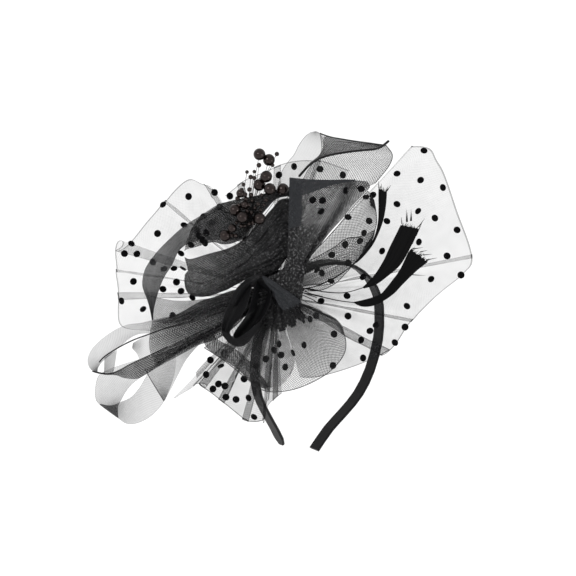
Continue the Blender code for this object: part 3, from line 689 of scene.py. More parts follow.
VEIL_LEFT = (
    Ray(angle=125, right=-0.345, up=0.605, fore=-0.4),
    Ray(angle=132, right=-0.485, up=0.700, fore=-1.6),
    Ray(angle=139, right=-0.590, up=0.695, fore=-3.2),
    Ray(angle=149, right=-0.795, up=0.475, fore=-3.2),
    Ray(angle=157, right=-0.910, up=0.340, fore=-5.2),
    Ray(angle=164, right=-1.000, up=0.270, fore=-4.8),
    Ray(angle=172, right=-1.005, up=0.140, fore=-5.4),
    Ray(angle=182, right=-0.995, up=-0.040, fore=-4.0),
    Ray(angle=192, right=-0.975, up=-0.200, fore=-3.2),
    Ray(angle=201, right=-0.790, up=-0.230, fore=-1.4),
)
VEIL_TOP = (
    Ray(angle=118, right=-0.370, up=0.705, fore=-0.4),
    Ray(angle=110, right=-0.245, up=0.805, fore=-1.6),
    Ray(angle=101, right=-0.105, up=0.870, fore=-0.8),
    Ray(angle=90, right=0.095, up=0.945, fore=-1.8),
    Ray(angle=81, right=0.305, up=0.955, fore=-1.0),
    Ray(angle=72, right=0.520, up=0.885, fore=-1.6),
)
VEIL_LOW = (
    Ray(angle=222, right=-0.750, up=-0.745, fore=-0.6),
    Ray(angle=229, right=-0.585, up=-0.650, fore=0.8),
    Ray(angle=237, right=-0.480, up=-0.705, fore=-0.6),
    Ray(angle=245, right=-0.350, up=-0.805, fore=0.4),
    Ray(angle=253, right=-0.215, up=-0.905, fore=-1.2),
    Ray(angle=260, right=-0.105, up=-0.900, fore=-0.2),
    Ray(angle=266, right=-0.050, up=-0.790, fore=-1.0),
    Ray(angle=273, right=0.045, up=-0.700, fore=0.0),
)
VEIL_RIGHT_DOTS = (
    (424, 150.5), (397, 173.5), (420.5, 180), (443, 187.5), (397, 204), (418, 211), (387, 221), (435, 218),
    (457, 230), (382, 251), (419, 242), (447, 256), (461, 275), (431, 279), (407, 306), (405, 327),
    (395, 342.5), (363, 277), (347, 296), (348, 316), (376, 325), (370, 331), (361, 340), (363, 358),
    (316, 316), (334, 334), (321, 301), (310, 319), (333, 365.5), (304, 345), (348, 217), (369, 221),
    (364, 233), (360, 241), (345, 244.5), (332, 255), (348, 263), (317, 270), (322, 273), (331, 281),
    (373, 195), (366, 197), (298, 374.5), (282, 333),
)
VEIL_LEFT_DOTS = (
    (188.5, 196.5), (163, 204.5), (184, 225), (157.5, 233.5), (131.5, 243.5), (124.5, 253.5), (137, 254),
    (153, 262), (164, 269), (174, 268.5), (183, 268.5), (181, 253.5), (176.5, 282), (133.5, 281.5),
    (163, 289), (181, 291), (192.5, 297.5), (121.5, 301), (143, 309), (172.5, 315.5), (203.5, 216),
    (219.5, 207), (212, 223), (197, 230), (195, 179.5), (214.5, 192.5), (125.5, 329), (145, 347),
)
VEIL_TOP_DOTS = ((279, 175), (294, 166.5), (320, 169), (343, 175), (230, 196), (262, 180))
VEIL_LOW_DOTS = (
    (210.5, 360), (221, 366), (206, 374.5), (189, 379), (213, 389), (218.5, 384), (225, 386), (244, 379),
    (226, 397), (236, 399.5), (248.5, 398), (254, 417), (193, 351), (224, 352), (169, 366), (168, 389),
    (164, 394),
)
VEIL_FOLDS = {
    "veil_right": (
        Fold(399, 159, 0.003), Fold(471, 256, 0.003), Fold(412, 321, 0.003), Fold(384, 352, 0.008),
    ),
    "veil_left": (
        Fold(207, 188, 0.009), Fold(165, 201, 0.0025), Fold(119, 246, 0.010), Fold(116, 272, 0.0025),
        Fold(118, 296, 0.005),
    ),
    "veil_top": (Fold(240, 183, 0.005), Fold(278, 168, 0.006), Fold(318, 164, 0.004)),
    "veil_low": (
        Fold(184, 384, 0.006), Fold(203, 386, 0.010), Fold(222, 403, 0.008), Fold(245, 421, 0.007),
        Fold(262, 418, 0.006), Fold(272, 395, 0.005),
    ),
}
VEIL_ROWS = 260
VEIL_COLUMNS = 40
VEIL_EDGE = 0.008


def draw_in(r, c):
    """Gathers that are deepest half way in and gone at the free edge."""
    return 4.0 * c * (1.0 - c) * (0.3 + 0.7 * c)


def make_veil(name, rays, gather, reach, dots, seed, layers=1.0):
    """One stretch of dotted tulle."""
    cloth = fan_cloth(rays, gather, reach, VEIL_ROWS, VEIL_COLUMNS, VEIL_EDGE)
    cloth = wave_cloth(cloth, 9.0, 0.0014, False, draw_in, seed)
    cloth = fold_fan(cloth, VEIL_FOLDS[name])
    cloth = rough_cloth(cloth, 0.0014, 0.025, seed)
    cloth = cloth._replace(area=grid_area(cloth.grid))
    bm = bmesh.new()
    add_cloth(bm, cloth, 0, lambda r, c: layers, edge=1)
    flock_dots(bm, dots, 2, seed)
    return finish_piece(f"{name}_tulle", bm, name, (tulle, tulle_edge, flock))


# %% Make the four veils
make_veil("veil_right", VEIL_RIGHT, Gather(1.0, 0.3), VEIL_RIGHT_REACH, VEIL_RIGHT_DOTS, 1.3)
make_veil("veil_left", VEIL_LEFT, Gather(1.6, 0.6), VEIL_LEFT_REACH, VEIL_LEFT_DOTS, 2.7)
make_veil("veil_top", VEIL_TOP, Gather(2.1, 0.0), VEIL_TOP_REACH, VEIL_TOP_DOTS, 4.1)
make_veil("veil_low", VEIL_LOW, Gather(2.0, 0.2), VEIL_LOW_REACH, VEIL_LOW_DOTS, 5.9, layers=1.9)

# %% [markdown]
# ## Mesh ribbon, as a real net
# Crinoline is a braid of stiff nylon, with its strands on the bias about 1.3 mm apart. On the big loops
# and petals the openings are plain to see, so the strands are real: each quad of the grid is poked, the
# old edges are dissolved so diamonds are left, and the wireframe operator turns every edge into a strand.
# Where the net is drawn in so far that strands would touch, it stays a dense sheet with a little body.

# %% Nets of strands
NET_PITCH = 0.0013
STRAND = 0.00028
TIGHTEST_CELL = 0.0007
CORD_SIDES = 6

nylon, _ = plain_shader("nylon strand", BLACK, 0.45, 0.2)
gathered_net = weave_material(
    "gathered net", BLACK, 0.5, 0.12,
    Weave(0.0010, 0.0004, 0.62, 0.93, 0.4, 0.6, True),
)


def net_count(length):
    """How many grid cells a length takes, when each holds a diamond of the net's pitch."""
    return max(round(length / (NET_PITCH * math.sqrt(2.0))), 3)


def tube_along(bm, points, radius_at, sides, material_index):
    """A round cord along points, made from a grid that is rolled up and closed at both ends."""
    count = len(points) - 1
    ways = []
    side = None
    for i, point in enumerate(points):
        way = (points[min(i + 1, count)] - points[max(i - 1, 0)]).normalized()
        side = way.orthogonal() if side is None else side - side.dot(way) * way
        side.normalize()
        ways.append((side.copy(), way.cross(side)))

    def rolled(c, r):
        turn = 2.0 * math.pi * c / sides
        x, y = ways[r]
        return points[r] + radius_at(r / count) * (math.cos(turn) * x + math.sin(turn) * y)

    spots = moved_grid(bm, sides, count, rolled)
    verts = list(spots)
    faces = {face for vert in verts for face in vert.link_faces}
    seam = [vert for vert in verts if spots[vert][0] in (0, sides)]
    for face in faces:
        face.material_index = material_index
        face.smooth = True
    bmesh.ops.remove_doubles(bm, verts=seam, dist=1e-6)
    for end in (0, count):
        ring = [vert for vert in verts if vert.is_valid and spots[vert][1] == end]
        hoop = {edge for vert in ring for edge in vert.link_edges if edge.is_boundary}
        capped = bmesh.ops.holes_fill(bm, edges=list(hoop), sides=sides)
        for face in capped["faces"]:
            face.material_index = material_index
            faces.add(face)
    bmesh.ops.recalc_face_normals(bm, faces=[face for face in faces if face.is_valid])


def cord_along(bm, line, radius, index, count=60):
    """A cord of one thickness along a traced line."""
    points = line_points(line)
    steps, _ = even_steps(points, count)
    tube_along(bm, [curve_at(points, step) for step in steps], lambda t: radius, CORD_SIDES, index)


def add_net(bm, cloth, index=0, dense_index=1):
    """Adds a net of strands on the bias over the cloth's grid; what is drawn in too far stays a sheet."""
    own = bmesh.new()
    add_cloth(own, cloth, index)
    dense = [face for face in own.faces if min(edge.calc_length() for edge in face.edges) < TIGHTEST_CELL]
    for face in dense:
        face.material_index = dense_index
    if dense:
        parted = bmesh.ops.split(own, geom=dense)
        sheet = [item for item in parted["geom"] if isinstance(item, bmesh.types.BMFace)]
        bmesh.ops.solidify(own, geom=sheet, thickness=STRAND)
    open_faces = [face for face in own.faces if face.material_index == index]
    old_edges = {edge for face in open_faces for edge in face.edges if len(edge.link_faces) == 2}
    bmesh.ops.poke(own, faces=open_faces)
    bmesh.ops.dissolve_edges(own, edges=[edge for edge in old_edges if edge.is_valid], use_verts=False)
    bmesh.ops.wireframe(
        own, faces=[face for face in own.faces if face.material_index == index],
        thickness=STRAND, offset=0.0, use_replace=True, use_boundary=True, use_even_offset=True,
    )
    made = bpy.data.meshes.new("net")
    own.to_mesh(made)
    own.free()
    bm.from_mesh(made)
    bpy.data.meshes.remove(made)


def net_loft(lines):
    """A loft whose grid holds the net's own cells."""
    plain = loft_cloth(lines, 12, 6)
    return loft_cloth(lines, net_count(plain.length), net_count(plain.width))


# %% [markdown]
# The loop at the top is one wide ribbon. At the left it is seen as a smooth film. It folds over its upper
# edge and comes forward as a flap, whose drawn edge is a thick dark cord, and the open net behind closes
# the loop at the right.

# %% The loop at the top
LOOP_TOP_FILM = (
    Line((3.0, 2.4, 1.2), (
        (277, 289), (277, 240), (277, 200), (280, 176), (287, 163), (293.6, 155), (298.5, 145.5),
        (304.5, 137),
        (310, 132.7), (315, 131.3),
    )),
    Line((3.0, 2.6, 1.6), (
        (280, 289), (284, 240), (290, 200), (298, 176), (308, 160), (315, 148), (318, 138), (317, 131.5),
    )),
    Line((3.0, 2.2, 1.4), (
        (283, 290), (292, 240), (302, 200), (313, 178), (320.5, 160), (324.3, 150), (324, 142),
        (321, 133.5),
    )),
)
LOOP_TOP_NET = (
    Line((1.2, 0.8, 1.2, 2.6), (
        (320, 133.3), (331, 137), (346, 139.8), (360, 142.1), (374, 144), (386, 145.3),
    )),
    Line((1.6, 1.4, 2.2, 4.2), ((321, 152), (335, 153), (350, 155), (364, 156), (378, 156), (392.3, 155))),
    Line((2.2, 1.8, 3.0, 5.2), (
        (308, 170), (325, 169), (342, 170), (358, 171), (373, 170.5), (388.5, 167),
    )),
    Line((2.4, 2.2, 3.4, 5.6), ((298, 190), (315, 187), (332, 188), (348, 189), (362, 188), (375, 183.5))),
)
LOOP_TOP_CORD = Line((7.0, 8.2, 8.2, 7.4, 5.6), (
    (299, 176.5), (303, 172), (308, 166.4), (315, 161), (323, 157), (335, 154), (350, 151.6), (362, 150.3),
    (375, 149), (382, 146.3), (388.8, 140.8),
))
LOOP_TOP_FLAP = (
    Line((6.4, 3.8, 1.6, 1.0, 1.4, 3.0), (
        (299.5, 175), (309, 164.5), (319, 156), (323.5, 147), (324.5, 137.5), (335, 138), (350, 140.3),
        (365, 142.4), (376, 144), (384.5, 145.4),
    )),
    Line((6.8, 6.4, 5.4, 4.4, 4.0, 4.2), (
        (299.3, 176), (310, 164.6), (322, 156), (330, 149), (337, 146.5), (348, 146), (358, 146.3),
        (368, 146.5),
        (377, 146.3), (385, 145.2),
    )),
    Line((7.0, 8.2, 8.2, 7.4, 5.8), (
        (299, 177), (303, 172), (308, 166.4), (315, 161), (323, 157), (335, 154), (350, 151.6),
        (362, 150.3),
        (375, 149), (382, 146.3), (385.5, 144.6),
    )),
)
EDGE_CORD = 0.00030
DRAWN_CORD = 0.00095

bm = bmesh.new()
film = loft_cloth(LOOP_TOP_FILM, 80, 16, HEM_EDGE, HEM_EDGE)
add_cloth(bm, film, 0, edge=1)
flap = wave_cloth(loft_cloth(LOOP_TOP_FLAP, 80, 18), 3.0, 0.0006, True, even_weave, 0.4)
add_cloth(bm, flap, 2, lambda r, c: 0.55 + 0.5 * c * (1.0 - r))
cord_along(bm, LOOP_TOP_CORD, DRAWN_CORD, 3)
finish_piece(
    "crin_loop_top_flap", bm, "crin_loop_top", (film_mesh, selvedge, gathered_net, nylon),
)
bm = bmesh.new()
loop_net = rough_cloth(net_loft(LOOP_TOP_NET), 0.0007, 0.02, 0.4)
add_net(bm, loop_net)
tube_along(bm, [row[0] for row in loop_net.grid], lambda t: 0.0005, CORD_SIDES, 0)
tube_along(bm, loop_net.grid[-1], lambda t: EDGE_CORD, CORD_SIDES, 0)
finish_piece("crin_loop_top_net", bm, "crin_loop_top", (nylon, gathered_net))

# %% [markdown]
# The right petal is a ribbon that goes out behind the leaf and comes back in front of itself, so a lighter
# single net shows above and a doubled one below. Its three edges are fine dark cords.

# %% The right petal
PETAL_RIGHT_FRONT = (
    Line((6.2, 6.4, 6.6), (
        (368, 191), (352.6, 207), (345.5, 216.5), (336, 228.3), (321.9, 243.6), (308.9, 255.4), (301, 266),
        (296, 278), (284, 290),
    )),
    Line((6.0, 6.9, 6.6), (
        (372, 196), (364, 214), (356, 228), (345, 242), (330, 255), (316, 264), (304, 273), (296, 281),
        (284, 291),
    )),
    Line((5.6, 6.8, 6.8), (
        (374.4, 200), (376.4, 214), (376, 226), (370, 242), (361, 255), (350, 267), (335, 278), (320, 284),
        (304, 286), (284, 293),
    )),
)
PETAL_RIGHT_BACK = (
    Line((5.0, 4.4, 4.2), (
        (375, 230), (361, 236.5), (345.5, 238.9), (336, 246), (321.9, 254.2), (308.9, 261.5), (298, 273),
        (284, 289),
    )),
    Line((4.8, 4.2, 4.2), (
        (374, 236), (362, 247), (348, 255), (335, 264), (320, 272), (306, 278), (297, 282), (284, 291),
    )),
    Line((4.6, 4.0, 4.2), (
        (372, 240), (365, 252), (355, 263), (345, 274), (336, 283), (322, 290), (308, 291), (297, 291),
        (284, 293),
    )),
)
bm = bmesh.new()
petal_front = rough_cloth(net_loft(PETAL_RIGHT_FRONT), 0.0006, 0.02, 1.9)
petal_back = rough_cloth(net_loft(PETAL_RIGHT_BACK), 0.0006, 0.02, 2.4)
for cloth in (petal_front, petal_back):
    add_net(bm, cloth)
    for column in (0, -1):
        tube_along(bm, [row[column] for row in cloth.grid], lambda t: EDGE_CORD, CORD_SIDES, 0)
finish_piece(
    "crin_petal_right_net", bm, "crin_petal_right", (nylon, gathered_net),
)

# %% [markdown]
# The low petal fans out under the bud. Its lower left edge is turned under into a dark hem, and its upper
# right edge is doubled.

# %% The low petal
PETAL_LOW_REACH = 0.094
CRIN_PETAL_LOW = (
    Ray(angle=-14, right=0.300, up=-0.117, fore=8.0),
    Ray(angle=-22, right=0.483, up=-0.208, fore=9.6),
    Ray(angle=-32, right=0.558, up=-0.342, fore=9.2),
    Ray(angle=-42, right=0.558, up=-0.483, fore=10.6),
    Ray(angle=-53, right=0.442, up=-0.633, fore=9.6),
    Ray(angle=-66, right=0.258, up=-0.742, fore=10.8),
    Ray(angle=-80, right=0.067, up=-0.800, fore=9.8),
    Ray(angle=-95, right=-0.117, up=-0.792, fore=10.8),
    Ray(angle=-109, right=-0.267, up=-0.683, fore=9.4),
    Ray(angle=-125, right=-0.433, up=-0.550, fore=9.4),
    Ray(angle=-139, right=-0.600, up=-0.442, fore=8.4),
)
PETAL_LOW_HEM = (
    Line((8.4, 9.6, 10.4), (
        (203.5, 336), (204.8, 344.3), (210.5, 351), (219.1, 356.8), (231.6, 364.6), (242.1, 373.2),
        (253.6, 383.7), (266, 389),
    )),
    Line((8.8, 10.2, 10.9), (
        (208, 334), (210, 341), (216, 346.5), (225, 351), (237, 359), (247, 368), (257, 378.5), (268, 387),
    )),
    Line((8.6, 9.8, 10.6), (
        (213, 333), (216, 338), (222, 342), (232, 347), (243, 355), (252, 364), (261, 375), (270, 387),
    )),
)
PETAL_LOW_DOUBLE = (
    Line((8.2, 9.9, 9.9), (
        (300, 298.5), (314.8, 306.6), (327.2, 313.3), (336.8, 319.4), (342.5, 326.1), (344, 333),
    )),
    Line((8.0, 9.5, 9.7), (
        (289, 312), (300, 316.5), (314.8, 320.4), (326, 322), (335.8, 324.6), (342, 334),
    )),
)
bm = bmesh.new()
plain = fan_cloth(CRIN_PETAL_LOW, Gather(7.3, 0.5), PETAL_LOW_REACH, 40, 10)
petal_low = fan_cloth(
    CRIN_PETAL_LOW, Gather(7.3, 0.5), PETAL_LOW_REACH, net_count(plain.length), net_count(plain.width)
)
petal_low = wave_cloth(petal_low, 6.0, 0.0010, False, draw_in, 3.3)
petal_low = rough_cloth(petal_low, 0.0009, 0.02, 3.3)
add_net(bm, petal_low)
tube_along(bm, [row[0] for row in petal_low.grid], lambda t: EDGE_CORD, CORD_SIDES, 0)
finish_piece("crin_petal_low_net", bm, "crin_petal_low", (nylon, gathered_net))
bm = bmesh.new()
hem = wave_cloth(loft_cloth(PETAL_LOW_HEM, 70, 10, HEM_EDGE), 2.0, 0.0004, True, even_weave, 1.0)
double = loft_cloth(PETAL_LOW_DOUBLE, 50, 8, HEM_EDGE, HEM_EDGE)
add_cloth(bm, hem, 0, lambda r, c: 0.75, edge=1)
add_cloth(bm, double, 2, edge=1)
finish_piece(
    "crin_petal_low_hem", bm, "crin_petal_low", (dark_mesh, selvedge, film_mesh)
)

# %% [markdown]
# Behind the low petal a twist of sheer is crumpled up. Crumples are sharp, so the noise that moves this
# sheet is ridged: it turns back at zero instead of passing through.

# %% The crumple
CRUMPLE = (
    Line((6.0, 6.4, 6.6, 7.0), ((270, 300), (240, 326), (236, 345), (240, 360), (247, 372), (256, 384))),
    Line((6.6, 7.2, 6.8, 7.2), ((272, 301), (252, 322), (250, 345), (254, 360), (260, 374), (266, 387))),
    Line((6.2, 7.0, 7.4, 7.0), ((275, 302), (262, 322), (262, 342), (267, 358), (272, 372), (276, 387))),
    Line((6.6, 6.6, 7.0, 7.2), ((278, 302), (273, 320), (275, 338), (280, 356), (284, 370), (284, 383))),
    Line((6.2, 6.8, 6.8, 6.8), ((281, 301), (282, 318), (286, 336), (291, 352), (293, 364), (290, 374))),
)
CRUMPLE_DOTS = (
    (276, 324), (279, 344), (281, 355), (274, 350), (266, 359), (285, 367), (256, 366), (293, 353),
)
CRUMPLE_HEIGHT = 0.0065


def crumple_cloth(cloth, height, seed):
    """The cloth with sharp creases that run mostly lengthwise."""
    frames = grid_frames(cloth.grid)
    rows = len(cloth.grid) - 1
    grid = []
    for r, (row, line) in enumerate(zip(cloth.grid, frames)):
        moved = []
        for c, (point, frame_here) in enumerate(zip(row, line)):
            u, v = cloth.shares[c] * 7.0, r / rows * 3.0
            ridge = abs(noise.noise(Vector((u, v, seed))))
            ridge = ridge + 0.5 * abs(noise.noise(Vector((2.3 * u, 2.3 * v, seed))))
            _, across, normal = frame_here
            moved.append(point + height * (ridge - 0.3) * normal + height * 0.4 * ridge * across)
        grid.append(moved)
    return cloth._replace(grid=grid, area=grid_area(grid))


bm = bmesh.new()
crumple = crumple_cloth(loft_cloth(CRUMPLE, 90, 70), CRUMPLE_HEIGHT, 4.4)
add_cloth(bm, crumple, 0, lambda r, c: 0.8 + 0.8 * r * (1.0 - r))
flock_dots(bm, CRUMPLE_DOTS, 1, 8)
finish_piece("crin_fold_low_sheer", bm, "crin_fold_low", (crumple_sheer, flock))

# %% [markdown]
# ## Fine mesh ribbon
# The loops at the left are of finer mesh, whose openings are below what the picture shows, so the weave
# stays in the shader and the edges, overlaps and gathers do the drawing. A ribbon that turns over shows as
# two sheets that meet at its fold.

# %% The big loop at the left
LOOP_LEFT_OUT = (
    Line((3.0, 3.0, 1.6, 1.6, 3.2), (
        (273, 289), (271, 245), (260, 214), (240, 204), (222, 203), (200, 216), (183, 227), (166, 242.5),
        (157, 252), (150, 261),
        (144.5, 271), (142.3, 283), (143.8, 291), (147, 299), (150, 309), (152.4, 320.2),
    )),
    Line((3.0, 3.0, 2.6, 2.6, 3.4), (
        (272, 291), (266, 264), (256, 243), (235, 240), (215, 240), (200, 241), (188, 244), (179, 251),
        (172, 265), (165, 276), (160.5, 286),
        (157, 297), (154, 309), (152.6, 320.2),
    )),
)
LOOP_LEFT_BACK = (
    Line((3.6, 4.2, 4.3), ((155, 297), (171.8, 300.3), (185, 300.8), (200, 299.5), (230, 296), (272, 292))),
    Line((3.6, 4.2, 4.3), ((152.6, 320.5), (165, 323), (180, 322), (200, 316), (230, 306), (272, 297))),
)
bm = bmesh.new()
loop_out = loft_cloth(LOOP_LEFT_OUT, 110, 24, RIBBON_EDGE, RIBBON_EDGE)
loop_out = wave_cloth(loop_out, 2.0, 0.0005, True, even_weave, 0.8)
loop_back = loft_cloth(LOOP_LEFT_BACK, 60, 16, RIBBON_EDGE, RIBBON_EDGE)
add_cloth(bm, loop_out, 0, lambda r, c: 1.45 + 0.5 * r, edge=1)
add_cloth(bm, loop_back, 0, lambda r, c: 1.15, edge=1)
finish_piece(
    "crin_loop_left_mesh", bm, "crin_loop_left", (fine_mesh, selvedge)
)

# %% [markdown]
# ## The narrow ribbon
# A ribbon 22 mm wide makes two loops at the lower left, one over the other, and a gathered bundle leads
# back from them to the knot. It is crisp enough to stand open, and dark only where it doubles.

# %% The upper ribbon loop
UPPER_OUT = (
    Line((7.9, 8.0, 8.8, 9.5, 8.4), (
        (271, 292), (240, 299), (205, 308), (180, 314), (152.4, 320.2), (141.2, 322.8), (129, 324.3),
        (118.8, 327.9),
        (108.6, 334), (98.4, 342.1), (91.2, 350.3), (87.9, 358.5), (88.3, 364.6), (91.2, 369.7),
        (97.3, 373.3),
    )),
    Line((7.9, 8.0, 8.4, 9.1, 8.2), (
        (271, 296), (240, 306), (205, 318), (180, 326), (160, 330), (149.4, 333), (139.2, 334),
        (131, 337.5), (122.9, 344),
        (115, 351), (108, 357), (102, 362), (98, 368), (97.6, 373),
    )),
)
UPPER_BACK = (
    Line((8.2, 7.0, 6.4, 6.8), (
        (96.5, 372.8), (110.6, 373.4), (119.8, 369.9), (129, 364.8), (141.2, 359), (153.5, 353.4),
        (170, 346),
        (200, 331), (240, 312), (271, 297),
    )),
    Line((8.2, 7.0, 6.2, 6.8), (
        (92, 371), (104, 374.4), (116.7, 375.5), (124.9, 378.3), (137.1, 378.9), (145.3, 375), (158, 367),
        (180, 352), (205, 337), (240, 318), (271, 300),
    )),
)
UPPER_INSIDE = (
    Line((8.6, 8.0, 7.6), (
        (133, 343), (145.3, 336), (155.5, 332.4), (166.7, 328.4), (190, 322), (220, 312), (270, 295),
    )),
    Line((7.8, 7.2, 7.0), (
        (132, 348), (137, 354), (141, 360), (153, 354.5), (175, 345), (215, 325), (270, 299),
    )),
)
UPPER_POINT = (
    Line((8.9, 8.2), ((104.5, 357.5), (111, 353), (115.5, 351), (117, 350))),
    Line((8.4, 7.6), ((104, 372.5), (108, 372.8), (112, 372.5), (114, 371))),
)
UPPER_CORD = Line((9.4, 9.2, 8.8), (
    (99.2, 362.3), (103.5, 357.4), (110.6, 352.3), (120.8, 346.2), (133.1, 340.1), (145.3, 335.5),
    (155.5, 331.9),
    (166.7, 327.9), (182, 323.5), (200, 318),
))
UPPER_BACK_CORD = Line((8.3, 7.1, 6.6, 6.8), (
    (93, 371.6), (101, 373.6), (110.6, 373.4), (119.8, 369.9), (129, 364.8), (141.2, 359), (153.5, 353.4),
    (168, 346.5),
))
RIBBON_CORD = 0.00058
bm = bmesh.new()
upper_out = loft_cloth(UPPER_OUT, 110, 20, RIBBON_EDGE, RIBBON_EDGE)
upper_back = loft_cloth(UPPER_BACK, 90, 20, RIBBON_EDGE, RIBBON_EDGE)
upper_back = wave_cloth(upper_back, 3.0, 0.0008, True, even_weave, 5.1)
upper_inside = loft_cloth(UPPER_INSIDE, 60, 14)
upper_point = loft_cloth(UPPER_POINT, 16, 12)
add_cloth(bm, upper_out, 0, lambda r, c: 1.9 - 1.25 * min(r * 1.5, 1.0) + 0.5 * max(c - 0.5, 0.0), edge=1)
add_cloth(bm, upper_back, 3, lambda r, c: 0.55 + 0.9 * r, edge=1)
add_cloth(bm, upper_inside, 0, lambda r, c: 0.5 + 0.8 * r)
add_cloth(bm, upper_point, 0, lambda r, c: 1.1)
cord_along(bm, UPPER_CORD, RIBBON_CORD, 2)
cord_along(bm, UPPER_BACK_CORD, RIBBON_CORD * 0.7, 2)
finish_piece(
    "ribbon_loop_upper_mesh", bm, "ribbon_loop_upper", (fine_mesh, selvedge, nylon, dark_mesh),
)

# %% The lower ribbon loop
LOWER_OUT = (
    Line((5.0, 4.3, 3.5, 2.8, 2.4), (
        (270, 297), (225, 321), (190, 340), (165, 352), (140, 359), (115, 367), (100.4, 373.8),
        (96.3, 381.9), (95.2, 392.1),
        (95.8, 399.3), (99.4, 404.4), (108.6, 411.5), (118.8, 418.7),
    )),
    Line((5.0, 4.3, 3.7, 3.2, 2.8), (
        (270, 300), (225, 327), (195, 345), (172, 358), (158, 366), (146.3, 373.8), (139.2, 378.4),
        (131, 385), (124.9, 393.2),
        (120.6, 401.3), (118.6, 404.5), (117.8, 410), (118.6, 418.5),
    )),
)
LOWER_BACK = (
    Line((3.0, 4.2, 5.4, 5.9), (
        (99.4, 404.4), (108.6, 411.5), (118.8, 418.7), (125.9, 423.3), (134.1, 423.8), (143.3, 420.7),
        (151.4, 415.6),
        (159.6, 407.4), (164.6, 400.3), (171.8, 387), (178, 374.8), (187.1, 358.5), (202.4, 342.1),
        (225, 329), (270, 301),
    )),
    Line((3.2, 4.2, 5.4, 5.9), (
        (100.5, 403.8), (110.6, 405.4), (120.8, 402), (131, 397.2), (139.2, 388.1), (145.3, 377.9),
        (150, 370), (160, 362),
        (175, 350), (192, 340), (210, 330), (225, 321), (270, 297),
    )),
)
LOWER_FLAP = (
    Line((5.6, 5.9, 6.0), ((145.3, 369.7), (150.4, 378.9), (156.5, 389.1), (164, 400.8))),
    Line((5.8, 6.0, 6.0), ((175, 352), (176, 364), (173, 380), (165, 400.3))),
)
LOWER_EDGE = Line((5.7, 6.0, 6.1), ((144.8, 369), (150.4, 378.9), (156.5, 389.1), (164, 401.2)))
bm = bmesh.new()
lower_out = loft_cloth(LOWER_OUT, 110, 20, RIBBON_EDGE, RIBBON_EDGE)
lower_back = loft_cloth(LOWER_BACK, 110, 20, RIBBON_EDGE, RIBBON_EDGE)
lower_flap = loft_cloth(LOWER_FLAP, 40, 16)
add_cloth(bm, lower_out, 0, lambda r, c: 0.62, edge=1)
add_cloth(bm, lower_back, 0, lambda r, c: 0.62, edge=1)
add_cloth(bm, lower_flap, 0, lambda r, c: 0.4)
cord_along(bm, LOWER_EDGE, EDGE_CORD * 1.1, 2)
finish_piece(
    "ribbon_loop_lower_mesh", bm, "ribbon_loop_lower", (fine_mesh, selvedge, nylon),
)

# %% The bundle
BUNDLE = (
    Line((9.6, 9.2, 9.3, 9.2), (
        (152, 321), (166, 318), (180, 312.5), (192, 305.5), (202, 300), (216, 296), (236, 290), (255, 288),
        (270, 290),
    )),
    Line((10.2, 9.8, 9.9, 9.4), (
        (150, 333), (165, 328), (182, 322), (196, 314), (210, 308), (225, 302), (240, 297), (256, 292),
        (270, 292),
    )),
    Line((9.4, 9.2, 9.3, 9.2), (
        (149, 344), (162, 341), (180, 334), (196, 327), (212, 320), (226, 314), (240, 307), (257, 297),
        (270, 294),
    )),
    Line((10.0, 9.7, 9.8, 9.3), (
        (151, 355), (165, 350), (182, 343), (198, 337), (212, 331), (226, 324), (240, 315), (257, 302),
        (270, 297),
    )),
    Line((9.4, 9.2, 9.1, 9.0), (
        (158, 367), (172, 360), (186, 352), (198, 345), (210, 341), (222, 336), (236, 326), (256, 306),
        (271, 300),
    )),
)
bm = bmesh.new()
bundle = loft_cloth(BUNDLE, 90, 60)
bundle = wave_cloth(bundle, 7.0, 0.0012, True, even_weave, 7.4, drift=1.4)
bundle = bundle._replace(area=grid_area(bundle.grid))
add_cloth(bm, bundle, 0, lambda r, c: 0.45 + 2.8 * r * (1.15 - c * 0.6))
finish_piece("ribbon_bundle_mesh", bm, "ribbon_bundle", (dark_mesh,))

# %% [markdown]
# ## The dark dishes
# Two saucers of dense mesh sit one in the other under the beads. Their folds sweep from the lower left to
# the upper right like ripples in a bowl. Each line of the loft is one ridge or valley, so the folds lie
# where they do on the real flower. At the left the mesh thins to a single layer.

# %% The outer dish
DISH = (
    Line((8.0, 7.2, 6.9, 7.0), (
        (184.6, 281), (186, 289), (190.5, 294.4), (201, 296.5), (214.7, 294.4), (230.5, 288), (243.2, 281),
        (256, 275.5), (268.4, 274), (280, 268), (286, 258), (288, 268), (282, 288),
    )),
    Line((8.2, 8.6, 8.2, 8.0), (
        (184.8, 275), (189, 284), (199, 288.5), (212, 284.5), (226.3, 277.5), (240, 270), (252, 263.5),
        (266, 257),
        (277, 247), (285, 237), (290, 248), (289, 268), (282, 288),
    )),
    Line((8.0, 6.9, 6.9, 7.2), (
        (187.8, 270), (193, 279), (202, 280), (211.6, 276.5), (226.3, 270.5), (239, 264.1), (251.6, 254.7),
        (264.2, 242),
        (274.7, 228.4), (284, 216), (292, 225), (290, 262), (282, 288),
    )),
    Line((8.0, 8.4, 8.6, 8.4), (
        (186.3, 264), (190, 268), (197, 267), (206.3, 263.8), (220, 258.7), (230.5, 252.4), (239, 246),
        (248.4, 237.6),
        (259, 227.1), (270.5, 216.6), (281, 205), (293, 212), (291, 258), (282, 288),
    )),
    Line((8.1, 7.2, 7.2, 7.4), (
        (184.4, 257), (189, 259), (197, 257.5), (208, 254), (222, 250.5), (234, 246.5), (243, 240.5),
        (252, 231.5),
        (262, 220.5), (272, 209.5), (282, 199), (295, 205), (292, 255), (282, 288),
    )),
)
